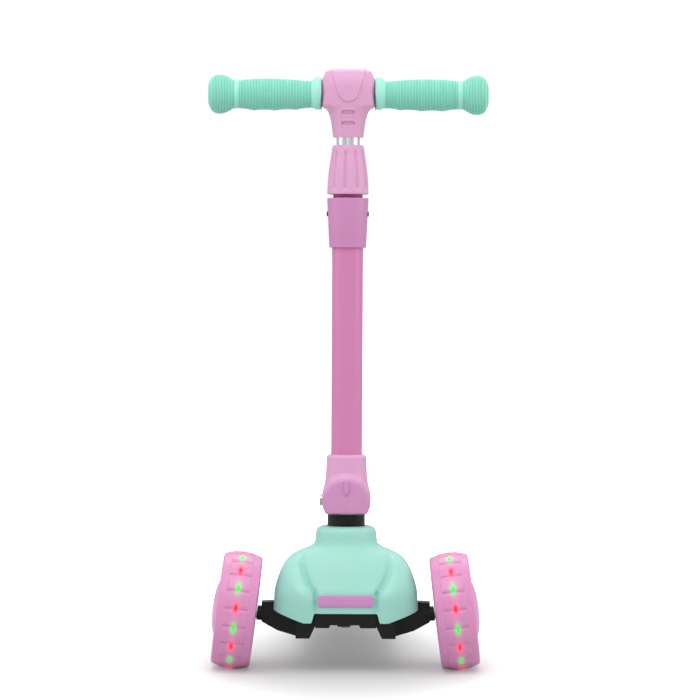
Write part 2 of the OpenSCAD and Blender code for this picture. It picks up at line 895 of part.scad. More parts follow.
// Threaded collet that the twist collar closes on the inner tube
module clamp_ring() {
    color(magenta)
    on_stem()
        difference() {
            translate([0, 0, sleeve_top - 9]) cylinder(r = thread_r, h = 9 + ring_h + thread_h);
            translate([0, 0, sleeve_top - 10]) cylinder(r = inner_r + run_gap, h = far);
            // slits that let it close
            for (turn = [0, 90])
                rotate([0, 0, 45 + turn])
                    block([-20, -0.8, twist_z + 8], [20, 0.8, twist_z + far]);
        }
}

module twist_collar() {
    flute_r = 4.2;
    lean = atan((twist_r_low - twist_r_top) / twist_h);
    color(light_pink)
    on_stem()
        difference() {
            translate([0, 0, twist_z]) cylinder(r1 = twist_r_low, r2 = twist_r_top, h = twist_h);
            translate([0, 0, twist_z - 1]) cylinder(r = thread_r + run_gap, h = thread_h + 1.5);
            translate([0, 0, twist_z - 1]) cylinder(r = inner_r + side_gap, h = far);
            for (i = [0 : 9])
                rotate([0, 0, i * 36 - 98])
                    translate([twist_r_low + flute_r - 1.3, 0, twist_z])
                        rotate([0, -lean, 0]) {
                            translate([0, 0, 8]) sphere(r = flute_r);
                            translate([0, 0, 8]) cylinder(r = flute_r, h = twist_h - 18);
                            translate([0, 0, twist_h - 10]) sphere(r = flute_r);
                        }
        }
}

// ---- Handlebar ----

module inner_tube() {
    color(silver)
    on_stem()
        difference() {
            translate([0, 0, inner_low]) cylinder(r = inner_r, h = bar_z - bar_r - 1 - inner_low);
            translate([0, 0, inner_low - 1]) cylinder(r = inner_r - 2.4, h = far);
            // guide groove down the front
            translate([0, -inner_r - 1, inner_low - 1]) cylinder(r = groove_r, h = far);
        }
}

module bar_tube() {
    color(silver)
    on_stem()
        translate([0, 0, bar_z])
            difference() {
                x_bar(bar_r, bar_len - 12);
                x_bar(bar_r - 1.6, bar_len);
            }
}

// The T-cap's outline seen from the front
module cap_outline() {
    polygon([[-15.5, cap_low], [15.5, cap_low], [20.2, cap_shoulder - 4], [cap_half_w, cap_shoulder],
        [cap_half_w, bar_z + 12], [21.5, cap_crown], [-21.5, cap_crown], [-cap_half_w, bar_z + 12],
        [-cap_half_w, cap_shoulder], [-20.2, cap_shoulder - 4]]);
}

// The T-cap's outline seen from the side
module cap_side() {
    union() {
        translate([0, bar_z + 6]) rounded(2 * cap_depth, 2 * (cap_crown - bar_z - 6), 12);
        polygon([[-15.5, cap_low], [15.5, cap_low], [cap_depth, cap_shoulder], [-cap_depth, cap_shoulder]]);
    }
}

module cap_body() {
    difference() {
        intersection() {
            xz_plate(-40, 40) cap_outline();
            yz_plate(100) cap_side();
        }
        translate([0, 0, cap_low - 1]) cylinder(r = inner_r, h = bar_z - bar_r - cap_low);
        translate([0, 0, bar_z]) x_bar(bar_r, far);
    }
}

module cap_front() {
    color(light_pink)
    on_stem()
        difference() {
            union() {
                intersection() {
                    cap_body();
                    block([-50, -50, cap_low - 5], [50, 0, cap_crown + 5]);
                }
                // raised shield
                xz_plate(-cap_depth - 1, -cap_depth + 2)
                    polygon([[-15, bar_z + 18], [-9.7, bar_z + 6], [-4, bar_z - 5.5], [0, bar_z - 7],
                        [4, bar_z - 5.5], [9.7, bar_z + 6], [15, bar_z + 18]]);
            }
            // two sunk slots
            for (drop = [19, 30.2])
                translate([0, 0, bar_z - drop]) xz_plate(-40, -16.2) rounded(14.4, 4.8, 2.3);
            for (side = [-1, 1])
                translate([side * 15, 0, bar_z + 15]) rotate([90, 0, 0]) cylinder(r = 1.6, h = 10);
        }
}

module cap_rear() {
    color(light_pink)
    on_stem()
        difference() {
            intersection() {
                cap_body();
                block([-50, 0, cap_low - 5], [50, 50, cap_crown + 5]);
            }
            for (side = [-1, 1])
                translate([side * 15, 0, bar_z + 15]) rotate([-90, 0, 0]) {
                    cylinder(r = 1.6, h = 40);
                    translate([0, 0, 10]) cylinder(r = 3.2, h = 40);
                }
        }
}

module cap_screws() {
    color(steel)
    on_stem()
        for (side = [-1, 1])
            translate([side * 15, 0, bar_z + 15]) rotate([-90, 0, 0])
                union() {
                    translate([0, 0, -9]) cylinder(r = 1.6, h = 19);
                    translate([0, 0, 10]) cylinder(r = 3.1, h = 2.4);
                }
}

module grip() {
    span = grip_end - grip_start;
    knob = grip_end - 27;
    rotate([0, 90, 0])
        rotate_extrude()
            polygon([[bar_r, grip_start], [16.3, grip_start], [16.3, grip_start + 5],
                [14, grip_start + 7], [15.6, grip_start + 0.22 * span], [16.7, grip_start + 0.42 * span],
                [16, grip_start + 0.6 * span], [14.6, knob - 3], [14.6, knob], [17.6, knob + 3],
                [19.6, knob + 9], [20.4, knob + 14], [19.8, knob + 20], [17, knob + 25], [13, knob + 27],
                [0, knob + 27], [0, grip_end - 6], [bar_r, grip_end - 6]]);
}

module grip_left() {
    color([0.56, 0.88, 0.79])
    on_stem() translate([0, 0, bar_z]) mirror([1, 0, 0]) grip();
}

module grip_right() {
    color([0.56, 0.88, 0.79])
    on_stem() translate([0, 0, bar_z]) grip();
}

module bar_rings() {
    color([0.35, 0.42, 0.50])
    on_stem()
        translate([0, 0, bar_z])
            for (side = [-1, 1])
                difference() {
                    x_rod(15.6, side < 0 ? -grip_start : cap_half_w, side < 0 ? -cap_half_w : grip_start);
                    x_bar(bar_r, far);
                }
}

deck_frame();
grip_mat();
nose_frame();
frame_bolts();
nose_cover();
badge();
neck_post();
knuckle();
king_bolt();
king_nut();
king_bushes();
rear_axle();
rear_axle_nut();
brake_pin();
truck_beam();
axle_shafts();
axle_nuts();
tyre_left();
core_left();
hub_cap_left();
red_lights_left();
green_lights_left();
bearings_left();
spacer_left();
tyre_right();
core_right();
hub_cap_right();
red_lights_right();
green_lights_right();
bearings_right();
spacer_right();
rear_tyre();
rear_core();
rear_bearings();
rear_spacer();
brake_fender();
stem_tube();
fold_fork();
fold_housing();
upper_sleeve();
sleeve_screws();
clamp_ring();
hinge_bolt();
hinge_nut();
lever_pin();
release_pad();
lock_lever();
twist_collar();
inner_tube();
bar_tube();
cap_front();
cap_rear();
grip_left();
grip_right();
bar_rings();
cap_screws();
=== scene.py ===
# %% [markdown]
# # A three-wheeled kick scooter for small children
# The mechanical model gives every part's size, place and motion. This script keeps what is right
# about it, remakes the skins that need softer or finer shapes, and gives each finish its own
# material. Everything is in metres, in the model's own frame: +Z up, the front faces -Y.

# %% Load the frame
import json
import math
import bmesh
import bpy
import numpy as np
from mathutils import Matrix, Vector


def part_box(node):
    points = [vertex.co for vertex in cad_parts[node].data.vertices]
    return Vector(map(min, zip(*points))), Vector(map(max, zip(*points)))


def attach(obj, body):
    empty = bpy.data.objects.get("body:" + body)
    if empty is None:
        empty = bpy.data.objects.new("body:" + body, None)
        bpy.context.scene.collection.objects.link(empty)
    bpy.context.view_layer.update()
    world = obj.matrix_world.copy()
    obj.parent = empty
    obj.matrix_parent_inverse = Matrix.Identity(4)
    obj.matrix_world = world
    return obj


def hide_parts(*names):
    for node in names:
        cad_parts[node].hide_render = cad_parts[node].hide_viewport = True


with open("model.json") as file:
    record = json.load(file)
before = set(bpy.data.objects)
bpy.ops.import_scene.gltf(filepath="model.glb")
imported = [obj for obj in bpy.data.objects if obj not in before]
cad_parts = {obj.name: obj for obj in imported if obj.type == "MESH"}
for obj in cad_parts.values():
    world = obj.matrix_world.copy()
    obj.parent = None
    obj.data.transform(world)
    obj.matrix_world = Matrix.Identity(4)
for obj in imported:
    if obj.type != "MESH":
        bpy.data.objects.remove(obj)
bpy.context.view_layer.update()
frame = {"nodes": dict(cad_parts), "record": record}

MM = 0.001

# %% [markdown]
# Every new piece goes where the joints say. The folding hinge and the direction in which the
# handlebar slides give the stem's own axes, and each wheel's spin joint gives its centre and axle.

# %% Axes read from the joints
joints = {j["name"]: j for j in frame["record"]["behaviour"]["joints"]}
hinge = np.array(joints["stem_fold"]["pos_m"]) / MM
stem_up = np.array(joints["bar_height"]["axis"], float)
stem_back = np.array([0.0, stem_up[2], -stem_up[1]])
axle_y = joints["lean_steer"]["pos_m"][1] / MM
axle_z = joints["front_wheel_left_spin"]["pos_m"][2] / MM
wheel_r = (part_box("tyre_left")[1][2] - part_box("tyre_left")[0][2]) / 2 / MM


def stem_height(node, end=1):
    """A node's lowest or highest place, as a height above the hinge along the stem, in millimetres."""
    return (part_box(node)[end][2] / MM - hinge[2]) / stem_up[2]


def on_stem(points):
    """Stem coordinates (x, back, up from the hinge) turned into the frame: hinge + x X + back B + up U."""
    points = np.asarray(points, float)
    x_way = np.array([1.0, 0.0, 0.0])
    return hinge + points[..., :1] * x_way + points[..., 1:2] * stem_back + points[..., 2:3] * stem_up


def on_nose(points):
    """Nose coordinates, counted from the middle of the front axle, turned into the frame."""
    return np.asarray(points, float) + np.array([0.0, axle_y, axle_z])


def on_wheel(points, side):
    """Wheel coordinates (two across the wheel, one out along the axle) turned into the frame."""
    name = "front_wheel_right_spin" if side > 0 else "front_wheel_left_spin"
    centre = np.array(joints[name]["pos_m"]) / MM
    out = np.array(joints[name]["axis"], float) * side
    front = np.array([0.0, -1.0, 0.0])
    top = np.cross(front, out) * side
    top = top if top[2] > 0 else -top
    points = np.asarray(points, float)
    return centre + points[..., :1] * front + points[..., 1:2] * top + points[..., 2:3] * out


print("hinge", hinge.round(1), "stem", stem_up.round(3), "wheel radius", round(wheel_r, 1))

# %% [markdown]
# A surface here is an array of points on a grid. Joining neighbouring points gives the faces,
# merging doubled points closes the seams and poles, and the normals are then turned outwards.

# %% From a grid of points to a mesh
def make_piece(name, grids, body, stands_for=(), finish=None, sharp=40.0):
    """Joins grids of points (rows, columns, 3), in millimetres, into one smooth piece on a body."""
    vertices, faces, start = [], [], 0
    for grid in grids:
        rows, columns = grid.shape[:2]
        index = np.arange(rows * columns).reshape(rows, columns) + start
        corners = (index[:-1, :-1], index[1:, :-1], index[1:, 1:], index[:-1, 1:])
        faces.append(np.stack(corners, axis=-1).reshape(-1, 4))
        vertices.append(grid.reshape(-1, 3))
        start += rows * columns
    mesh = bpy.data.meshes.new(name)
    mesh.from_pydata((np.concatenate(vertices) * MM).tolist(), [], np.concatenate(faces).tolist())
    work = bmesh.new()
    work.from_mesh(mesh)
    bmesh.ops.remove_doubles(work, verts=work.verts, dist=2e-7)
    bmesh.ops.dissolve_degenerate(work, edges=work.edges, dist=1e-8)
    bmesh.ops.recalc_face_normals(work, faces=work.faces)
    work.to_mesh(mesh)
    work.free()
    mesh.shade_smooth()
    mesh.set_sharp_from_angle(angle=math.radians(sharp))
    piece = bpy.data.objects.new(name, mesh)
    bpy.context.scene.collection.objects.link(piece)
    if finish is not None:
        mesh.materials.append(finish)
    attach(piece, body)
    if stands_for:
        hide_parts(*stands_for)
    print(f"{name}: {len(mesh.polygons)} faces on {body}")
    return piece


def ease(x, low, high):
    """Smooth step from 0 at low to 1 at high: 3t^2 - 2t^3."""
    t = np.clip((np.asarray(x, float) - low) / (high - low), 0.0, 1.0)
    return t * t * (3.0 - 2.0 * t)


def bell(x, middle, width):
    """A bell curve: exp(-((x - middle) / width)^2)."""
    return np.exp(-(((x - middle) / width) ** 2))


def smooth_through(x, xs, ys):
    """A smooth curve through points: cubic Hermite pieces with slopes from each point's neighbours."""
    xs, ys = np.asarray(xs, float), np.asarray(ys, float)
    slope = np.gradient(ys, xs)
    x = np.clip(x, xs[0], xs[-1])
    i = np.clip(np.searchsorted(xs, x, side="right") - 1, 0, len(xs) - 2)
    h = xs[i + 1] - xs[i]
    t = (x - xs[i]) / h
    return (
        (2 * t**3 - 3 * t**2 + 1) * ys[i]
        + (t**3 - 2 * t**2 + t) * h * slope[i]
        + (3 * t**2 - 2 * t**3) * ys[i + 1]
        + (t**3 - t**2) * h * slope[i + 1]
    )


def turned(radius, height, around=96):
    """A turned shape: each (radius, height) pair swept round Z. x = r cos a, y = r sin a, z = height."""
    a = np.linspace(0.0, 2 * np.pi, around + 1)
    r, z = np.asarray(radius, float)[:, None], np.asarray(height, float)[:, None]
    return np.stack([r * np.cos(a), r * np.sin(a), z + 0 * a], axis=-1)


def super_round(half_x, half_y, power, angle):
    """A superellipse: x = a |cos|^(2/n) sign(cos), y = b |sin|^(2/n) sign(sin)."""
    c, s = np.cos(angle), np.sin(angle)
    x = half_x * np.sign(c) * np.abs(c) ** (2.0 / power)
    y = half_y * np.sign(s) * np.abs(s) ** (2.0 / power)
    return x, y


def rounded_outline(width, height, corner, per_corner=8):
    """The outline of a rectangle whose corners are quarter circles, anticlockwise and closed."""
    quarter = np.linspace(0.0, np.pi / 2, per_corner + 1)
    points = []
    for k, (sx, sy) in enumerate(((1, 1), (-1, 1), (-1, -1), (1, -1))):
        a = quarter + k * np.pi / 2
        points.append(np.stack([sx * (width / 2 - corner) + corner * np.cos(a),
                                sy * (height / 2 - corner) + corner * np.sin(a)], axis=-1))
    points = np.concatenate(points)
    return np.vstack([points, points[:1]])


def soft_plate(width, height, corner, low, high, edge):
    """A plate with a rounded upper edge: outlines that shrink by a quarter circle as they rise."""
    turn = np.linspace(0.0, np.pi / 2, 6)
    inset = np.concatenate([[0.0], edge * (1 - np.cos(turn))])
    rise = np.concatenate([[low], high - edge + edge * np.sin(turn)])
    rings = []
    for i, z in zip(inset, rise):
        ring = rounded_outline(width - 2 * i, height - 2 * i, max(corner - i, 0.05))
        rings.append(np.column_stack([ring, np.full(len(ring), z)]))
    for ring, at in ((rings[0], 0), (rings[-1], len(rings) + 1)):
        rings.insert(at, np.tile([0.0, 0.0, ring[0, 2]], (len(ring), 1)))
    return np.array(rings)


# %% [markdown]
# Materials come next. Each starts from the real one: injection-moulded plastics with a fine satin
# texture, soft moulded rubber, paint on a steel tube, anodised aluminium and cast polyurethane.

# %% Helpers for materials
def linear(hex_colour):
    """An sRGB hex colour as linear RGBA."""
    parts = [int(hex_colour[i : i + 2], 16) / 255 for i in (1, 3, 5)]
    return tuple(p / 12.92 if p <= 0.04045 else ((p + 0.055) / 1.055) ** 2.4 for p in parts) + (1.0,)


def add_node(material, kind, settings=(), values=(), links=()):
    """Adds a node, sets its settings and socket values, and links (socket, other node's output)."""
    node = material.node_tree.nodes.new(kind)
    for key, value in dict(settings).items():
        setattr(node, key, value)
    for key, value in dict(values).items():
        node.inputs[key].default_value = value
    for key, source in dict(links).items():
        material.node_tree.links.new(source, node.inputs[key])
    return node


def new_material(name, colour, roughness, values=()):
    """A material with the Principled shader, its colour and roughness, and any other socket values."""
    material = bpy.data.materials.new(name)
    material.use_nodes = True
    shader = material.node_tree.nodes["Principled BSDF"]
    shader.inputs["Base Color"].default_value = linear(colour)
    shader.inputs["Roughness"].default_value = roughness
    for key, value in dict(values).items():
        shader.inputs[key].default_value = value
    return material, shader


def add_grain(material, shader, grain_mm, depth_mm, strength=0.3):
    """A moulded grain: noise whose cells are grain_mm wide, used as a bump of depth_mm."""
    place = add_node(material, "ShaderNodeTexCoord")
    noise = add_node(material, "ShaderNodeTexNoise", values={"Scale": 1.0 / (grain_mm * MM), "Detail": 2.0},
                     links={"Vector": place.outputs["Object"]})
    bump = add_node(material, "ShaderNodeBump", values={"Distance": depth_mm * MM, "Strength": strength},
                    links={"Height": noise.outputs["Fac"]})
    material.node_tree.links.new(bump.outputs["Normal"], shader.inputs["Normal"])


# %% Plastics, rubber, paint and metal
# Injection-moulded polypropylene: a soft sheen from a fine spark-eroded mould texture.
mint_plastic, shader = new_material("moulded_polypropylene_mint", "#9ed9cb", 0.42,
                                    {"Subsurface Weight": 0.12, "Subsurface Scale": 0.004})
add_grain(mint_plastic, shader, 0.9, 0.03)
pink_plastic, shader = new_material("moulded_abs_light_pink", "#dda4ca", 0.38,
                                    {"Subsurface Weight": 0.08, "Subsurface Scale": 0.003})
add_grain(pink_plastic, shader, 0.9, 0.02)
sleeve_plastic, shader = new_material("moulded_abs_orchid_pink", "#cb88b9", 0.40)
add_grain(sleeve_plastic, shader, 0.9, 0.02)
pad_plastic, shader = new_material("moulded_abs_pad_pink", "#cf8fbf", 0.40)
ring_plastic, shader = new_material("moulded_nylon_magenta", "#b03f8c", 0.35)
badge_plastic, shader = new_material("moulded_abs_mauve_badge", "#cb8ec2", 0.30)
# Glass-filled nylon: almost black, with a dry sheen.
black_nylon, shader = new_material("glass_filled_nylon_black", "#0c0a0c", 0.42,
                                   {"Specular IOR Level": 0.3})
add_grain(black_nylon, shader, 1.0, 0.04)
grey_ring, shader = new_material("moulded_nylon_slate", "#5b7186", 0.5)
# Thermoplastic rubber: matt, with light scattering a little way in. Down between its ribs it is painted
# darker, as shade.
grip_rubber, shader = new_material("thermoplastic_rubber_mint", "#a4ecd8", 0.55,
                                   {"Subsurface Weight": 0.1, "Subsurface Scale": 0.003})
painted_rib_shade = add_node(grip_rubber, "ShaderNodeAttribute", {"attribute_name": "painted_rib_shade"})
painted_rib_shade_tone = add_node(grip_rubber, "ShaderNodeMix", {"data_type": "RGBA"},
                    {"A": linear("#a4ecd8"), "B": linear("#5cc4a8")}, {"Factor": painted_rib_shade.outputs["Fac"]})
grip_rubber.node_tree.links.new(painted_rib_shade_tone.outputs["Result"], shader.inputs["Base Color"])
mat_rubber, shader = new_material("moulded_rubber_mat_charcoal", "#3c3a3e", 0.75)
bush_rubber, shader = new_material("polyurethane_bush_cream", "#d8d2b8", 0.5)
# Powder-coated steel tube: smooth and glossy.
tube_paint, shader = new_material("powder_coated_steel_pink", "#d27fb0", 0.36, {"Coat Weight": 0.2})
bright_steel, shader = new_material("zinc_plated_steel", "#b9bbc0", 0.32, {"Metallic": 1.0})
black_steel, shader = new_material("black_oxide_steel", "#1b1a1c", 0.4, {"Metallic": 1.0})
tube_silver, shader = new_material("bright_anodised_aluminium", "#e6e6ee", 0.28, {"Metallic": 1.0})
bearing_steel, shader = new_material("polished_bearing_steel", "#cfd2d6", 0.15, {"Metallic": 1.0})
wheel_core, shader = new_material("polished_pc_lilac", "#dcc3e2", 0.18)
hub_plastic, shader = new_material("translucent_pc_hub_cap", "#dfa3cf", 0.22,
                                   {"Subsurface Weight": 0.3, "Subsurface Scale": 0.006})
red_led, shader = new_material("lit_led_red", "#f0263a", 0.2,
                               {"Emission Color": linear("#ff2038"), "Emission Strength": 3.0})
green_led, shader = new_material("lit_led_green", "#2fe05a", 0.2,
                                 {"Emission Color": linear("#20ff50"), "Emission Strength": 3.0})

# %% [markdown]
# The tyres are cast from clear-tinted polyurethane, and the lights inside them glow through it.
# The glow is painted on the tyre's own points as two attributes, one for each colour of light.

# %% Cast polyurethane with lights behind it
tyre_pu, shader = new_material("cast_polyurethane_pink", "#db93c1", 0.3,
                               {"Subsurface Weight": 0.45, "Subsurface Scale": 0.008})
red_glow = add_node(tyre_pu, "ShaderNodeAttribute", {"attribute_name": "red_glow"})
green_glow = add_node(tyre_pu, "ShaderNodeAttribute", {"attribute_name": "green_glow"})
tint_red = add_node(tyre_pu, "ShaderNodeMix", {"data_type": "RGBA"},
                    {"A": linear("#db93c1"), "B": linear("#e0142c")}, {"Factor": red_glow.outputs["Fac"]})
tint_both = add_node(tyre_pu, "ShaderNodeMix", {"data_type": "RGBA"}, {"B": linear("#14c840")},
                     {"Factor": green_glow.outputs["Fac"], "A": tint_red.outputs["Result"]})
glow_sum = add_node(tyre_pu, "ShaderNodeMath", {"operation": "ADD"},
                    links={0: red_glow.outputs["Fac"], 1: green_glow.outputs["Fac"]})
glow_power = add_node(tyre_pu, "ShaderNodeMath", {"operation": "MULTIPLY"}, {1: 0.9},
                      {0: glow_sum.outputs["Value"]})
tyre_pu.node_tree.links.new(tint_both.outputs["Result"], shader.inputs["Base Color"])
tyre_pu.node_tree.links.new(tint_both.outputs["Result"], shader.inputs["Emission Color"])
tyre_pu.node_tree.links.new(glow_power.outputs["Value"], shader.inputs["Emission Strength"])
plain_pu, shader = new_material("cast_polyurethane_pink_plain", "#db93c1", 0.3,
                                {"Subsurface Weight": 0.45, "Subsurface Scale": 0.008})

# %% Finishes of the mechanical parts
finish_of_slot = {
    "black_nylon": black_nylon, "grip_mat": mat_rubber, "mint_cover": mint_plastic,
    "badge": badge_plastic, "steel": bright_steel, "bush": bush_rubber, "tyre": plain_pu,
    "core": wheel_core, "hub_cap": hub_plastic, "red_light": red_led, "green_light": green_led,
    "bearing": bearing_steel, "spacer": tube_silver, "tube_pink": tube_paint,
    "light_pink": pink_plastic, "sleeve_pink": sleeve_plastic, "magenta": ring_plastic,
    "black_steel": black_steel, "silver": tube_silver, "grip": grip_rubber, "ring": grey_ring,
}
for part in frame["record"]["subparts"]:
    node = frame["nodes"][part["node"]]
    for place in node.material_slots:
        place.material = finish_of_slot[part["material_slot"]]

# %% [markdown]
# The nose cover is one big moulding. Seen from above its outline is a rounded box, so the skin is
# a stack of superellipses whose width, front and back change with height. Its round collar leans
# with the stem. The two creases and the swelling beside them are pushed in and out afterwards.

# %% Nose cover: outline at each height
LEVEL = [53, 60, 66, 72, 78, 84, 92, 98, 104, 108, 112, 116.5, 120.5, 124, 126.5, 129, 132.5, 138, 141.5]
HALF_WIDTH = [73.6, 74.2, 74.2, 73.9, 73.4, 72.7, 70.6, 68.6, 66.0, 63.8, 61.0, 56.0, 48.6, 39.8, 34.4,
              32.6, 31.9, 31.3, 30.8]
FRONT = [46.5, 46.5, 46.4, 46.2, 45.8, 44.6, 41.2, 38.6, 36.0, 34.2, 32.3, 30.1, 28.0, 26.0, 24.6,
         23.4, 22.4, 21.6, 21.2]
BACK = [73, 73, 73, 73, 73, 73, 72, 70, 67, 64.5, 61.5, 57.5, 53.5, 49.5, 46.8, 44.6, 42.9, 42, 41.6]
POWER = [3.4, 3.4, 3.4, 3.4, 3.4, 3.3, 3.1, 3.0, 2.9, 2.85, 2.8, 2.6, 2.4, 2.2, 2.1, 2.0, 2.0, 2.0, 2.0]
CREASE_LEVEL = [53, 62, 72, 82, 92, 107, 115, 122, 132]
CREASE_AT = [31, 30.5, 30.2, 32, 38.3, 44.2, 46, 45, 44]
COVER_LOW, NOTCH_TOP, NOTCH_RISE = 53.0, 63.0, 10.0
NOTCH_SIDE_IN, NOTCH_SIDE_OUT = 31.4, 35.6
POINT_X, SIDE_RISE, SIDE_RUN = 43.6, 11.0, 30.0
WALL = 2.4
collar_top_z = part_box("nose_cover")[1][2] / MM


def cover_bottom(x):
    """The lower edge's height for each x: a notch in the middle, two points, and rising sides."""
    x = np.abs(x)
    notch = NOTCH_TOP - NOTCH_RISE * ease(x, NOTCH_SIDE_IN, NOTCH_SIDE_OUT)
    return np.where(x < POINT_X, notch, COVER_LOW + SIDE_RISE * ((x - POINT_X) / SIDE_RUN))


def cover_point(level, angle):
    """A point of the cover's skin at a height and an angle round it, before the creases."""
    wide = smooth_through(level, LEVEL, HALF_WIDTH)
    front = smooth_through(level, LEVEL, FRONT)
    back = smooth_through(level, LEVEL, BACK)
    power = smooth_through(level, LEVEL, POWER)
    middle = -12.0 + 22.0 * ease(level, 100.0, 134.0)
    x, y = super_round(wide, 1.0, power, angle)
    reach = np.where(y < 0, front + middle, back - middle)
    return x, middle + y * reach, y


def cover_relief(x, level, facing):
    """How far the front is pushed out: creases in, the lobes beside them and the centre panel out."""
    crease = smooth_through(level, CREASE_LEVEL, CREASE_AT)
    low = ease(level, 52.0, 74.0) * (1.0 - ease(level, 119.0, 127.0))
    side = np.abs(x) - crease
    push = -4.2 * bell(side, -0.5, 3.0) * low
    push += 3.6 * bell(side, 14.0, 11.0) * bell(level, 84.0, 24.0)
    push += 1.0 * bell(np.abs(x), 0.0, 24.0) * bell(level, 104.0, 16.0)
    return push * ease(facing, 0.12, 0.75)


# %% Nose cover: skin, wall and mesh
# The lower edge rises over each steering arm. Behind it is level, with a higher gap in its middle.
ARM_ARCH_TOP, ARM_ARCH_HALF, ARM_ARCH_FROM = 79.0, 22.5, 46.0
REAR_EDGE, REAR_FROM_Y, REAR_HALF = 64.0, 68.0, 56.0
REAR_GAP_RISE, REAR_GAP_HALF = 20.0, 31.5
angle = np.linspace(0.0, 2 * np.pi, 441)[None, :]
rise = np.linspace(0.0, 1.0, 96)[:, None]
lowest = cover_point(np.full_like(angle, 58.0), angle)[0]
edge = cover_bottom(lowest)
front_y = cover_point(np.full_like(angle, 70.0), angle)[1]
arch = (np.abs(front_y) < ARM_ARCH_HALF) & (np.abs(lowest) > ARM_ARCH_FROM)
edge = np.where(arch, ARM_ARCH_TOP, edge)
behind = (front_y > REAR_FROM_Y) & (np.abs(lowest) < REAR_HALF)
edge = np.where(behind, REAR_EDGE + REAR_GAP_RISE * (np.abs(lowest) < REAR_GAP_HALF), edge)
level = edge + (LEVEL[-1] - edge) * rise
x, y, facing = cover_point(level, angle)
y = y - cover_relief(x, level, -facing)
shell = np.stack([x, y, level - axle_z + 0 * angle], axis=-1)

# The collar's rim turns over into a hole, which has a short lip going down.
RIM_ROUND_IN, RIM_ROUND_UP, RIM_HOLE_R, RIM_LIP = 7.4, 5.5, 19.6, 2.6
turn = np.linspace(0.0, np.pi / 2, 8)[1:]
top_height = (collar_top_z - hinge[2]) / stem_up[2]
rim_r = np.concatenate([HALF_WIDTH[-1] - RIM_ROUND_IN * (1 - np.cos(turn)), [RIM_HOLE_R, RIM_HOLE_R]])
rim_z = np.concatenate([top_height - RIM_ROUND_UP * (1 - np.sin(turn)), [top_height, top_height - RIM_LIP]])
a = angle[0]
rim = np.stack([rim_r[:, None] * np.cos(a), rim_r[:, None] * np.sin(a), rim_z[:, None] + 0 * a], axis=-1)
collar = on_stem(rim)
skin = np.concatenate([on_nose(shell), collar])
nose_skin = make_piece("nose_cover_shell", [skin], "deck", ["nose_cover"], mint_plastic, 60)
wall = nose_skin.modifiers.new("wall", "SOLIDIFY")
wall.thickness = WALL * MM
wall.offset = -1.0

# %% [markdown]
# The badge is a small separate moulding, blank here, with a rounded border.

# %% Badge
badge_low, badge_high = (np.array(c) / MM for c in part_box("badge"))
badge_size = badge_high - badge_low
badge_middle_z = (badge_low[2] + badge_high[2]) / 2
BADGE_SEAT_Y, BORDER = -45.4, 3.4
plate = soft_plate(badge_size[0], badge_size[2], corner=3.6, low=0.0, high=2.6, edge=0.9)
inner = soft_plate(badge_size[0] - BORDER, badge_size[2] - BORDER, corner=2.6, low=2.4, high=2.9, edge=0.3)
badge_grids = []
for grid in (plate, inner):
    place = np.stack([grid[..., 0], BADGE_SEAT_Y - grid[..., 2], grid[..., 1] + badge_middle_z - axle_z],
                     axis=-1)
    badge_grids.append(on_nose(place))
make_piece("badge_plate", badge_grids, "deck", ["badge"], badge_plastic, 35)

# %% [markdown]
# A front tyre is a turned ring: crowned tread, rounded shoulders, flat sides. Its grooves and the
# low blocks between them are a small change of radius that depends on the angle and the place
# across the tread, so one formula over the whole grid draws them all.

# %% Front tyres
GROOVES = 20
TYRE_HALF, CROWN_HALF, SHOULDER = 20.0, 17.8, 2.2
TYRE_DEPTH, GROOVE_DEPTH, BLOCK_RISE = 18.0, 1.1, 0.5
LIGHTS = 9
core_r = wheel_r - TYRE_DEPTH


def tyre_profile():
    """The ring's section as (place across, radius): inner side, shoulder, crown, shoulder, outer side."""
    crown = np.linspace(-CROWN_HALF, CROWN_HALF, 49)
    crown_r = np.sqrt(wheel_r**2 - crown**2)
    corner_r = np.sqrt(wheel_r**2 - CROWN_HALF**2)
    bend = np.linspace(0.0, np.pi / 2, 7)[1:]
    shoulder = CROWN_HALF + SHOULDER * np.sin(bend)
    shoulder_r = corner_r - 3.0 * (1 - np.cos(bend)) - 0.3 * bend
    side_r = np.linspace(shoulder_r[-1] - 2.0, core_r, 5)
    half = np.concatenate([shoulder, np.full(5, TYRE_HALF)])
    half_r = np.concatenate([shoulder_r, side_r])
    inside = np.array([TYRE_HALF - 2.0, 0.0, 2.0 - TYRE_HALF])
    across = np.concatenate([-half[::-1], crown, half, inside, [-TYRE_HALF]])
    radius = np.concatenate([half_r[::-1], crown_r, half_r, np.full(4, core_r)])
    return across, radius


def tread_change(around, across):
    """Grooves cut in and blocks raised: products of soft windows round and across the tread."""
    pitch = 2 * np.pi / GROOVES
    step = (np.mod(around, pitch) - pitch / 2) * wheel_r
    window = 1.0 - ease(np.abs(across), 10.6, 12.2)
    groove = -GROOVE_DEPTH * (1.0 - ease(np.abs(step), 0.7, 1.6)) * window
    block = BLOCK_RISE * ease(np.abs(step), 2.6, 3.1) * (1.0 - ease(np.abs(across), 11.0, 11.7))
    return groove + block


def glow_of(around, across, first):
    """Every other light's glow: a narrow bell inside a wide one, centred on each light."""
    pitch = 2 * np.pi / LIGHTS
    away = (np.mod(around + first + pitch / 2, pitch) - pitch / 2) * wheel_r
    core = np.exp(-((away / 6.6) ** 2) - ((across - 0.5) / 3.2) ** 2)
    halo = 0.06 * np.exp(-((away / 8.0) ** 2) - ((across - 0.5) / 5.0) ** 2)
    return np.clip(core + halo, 0.0, 1.0)


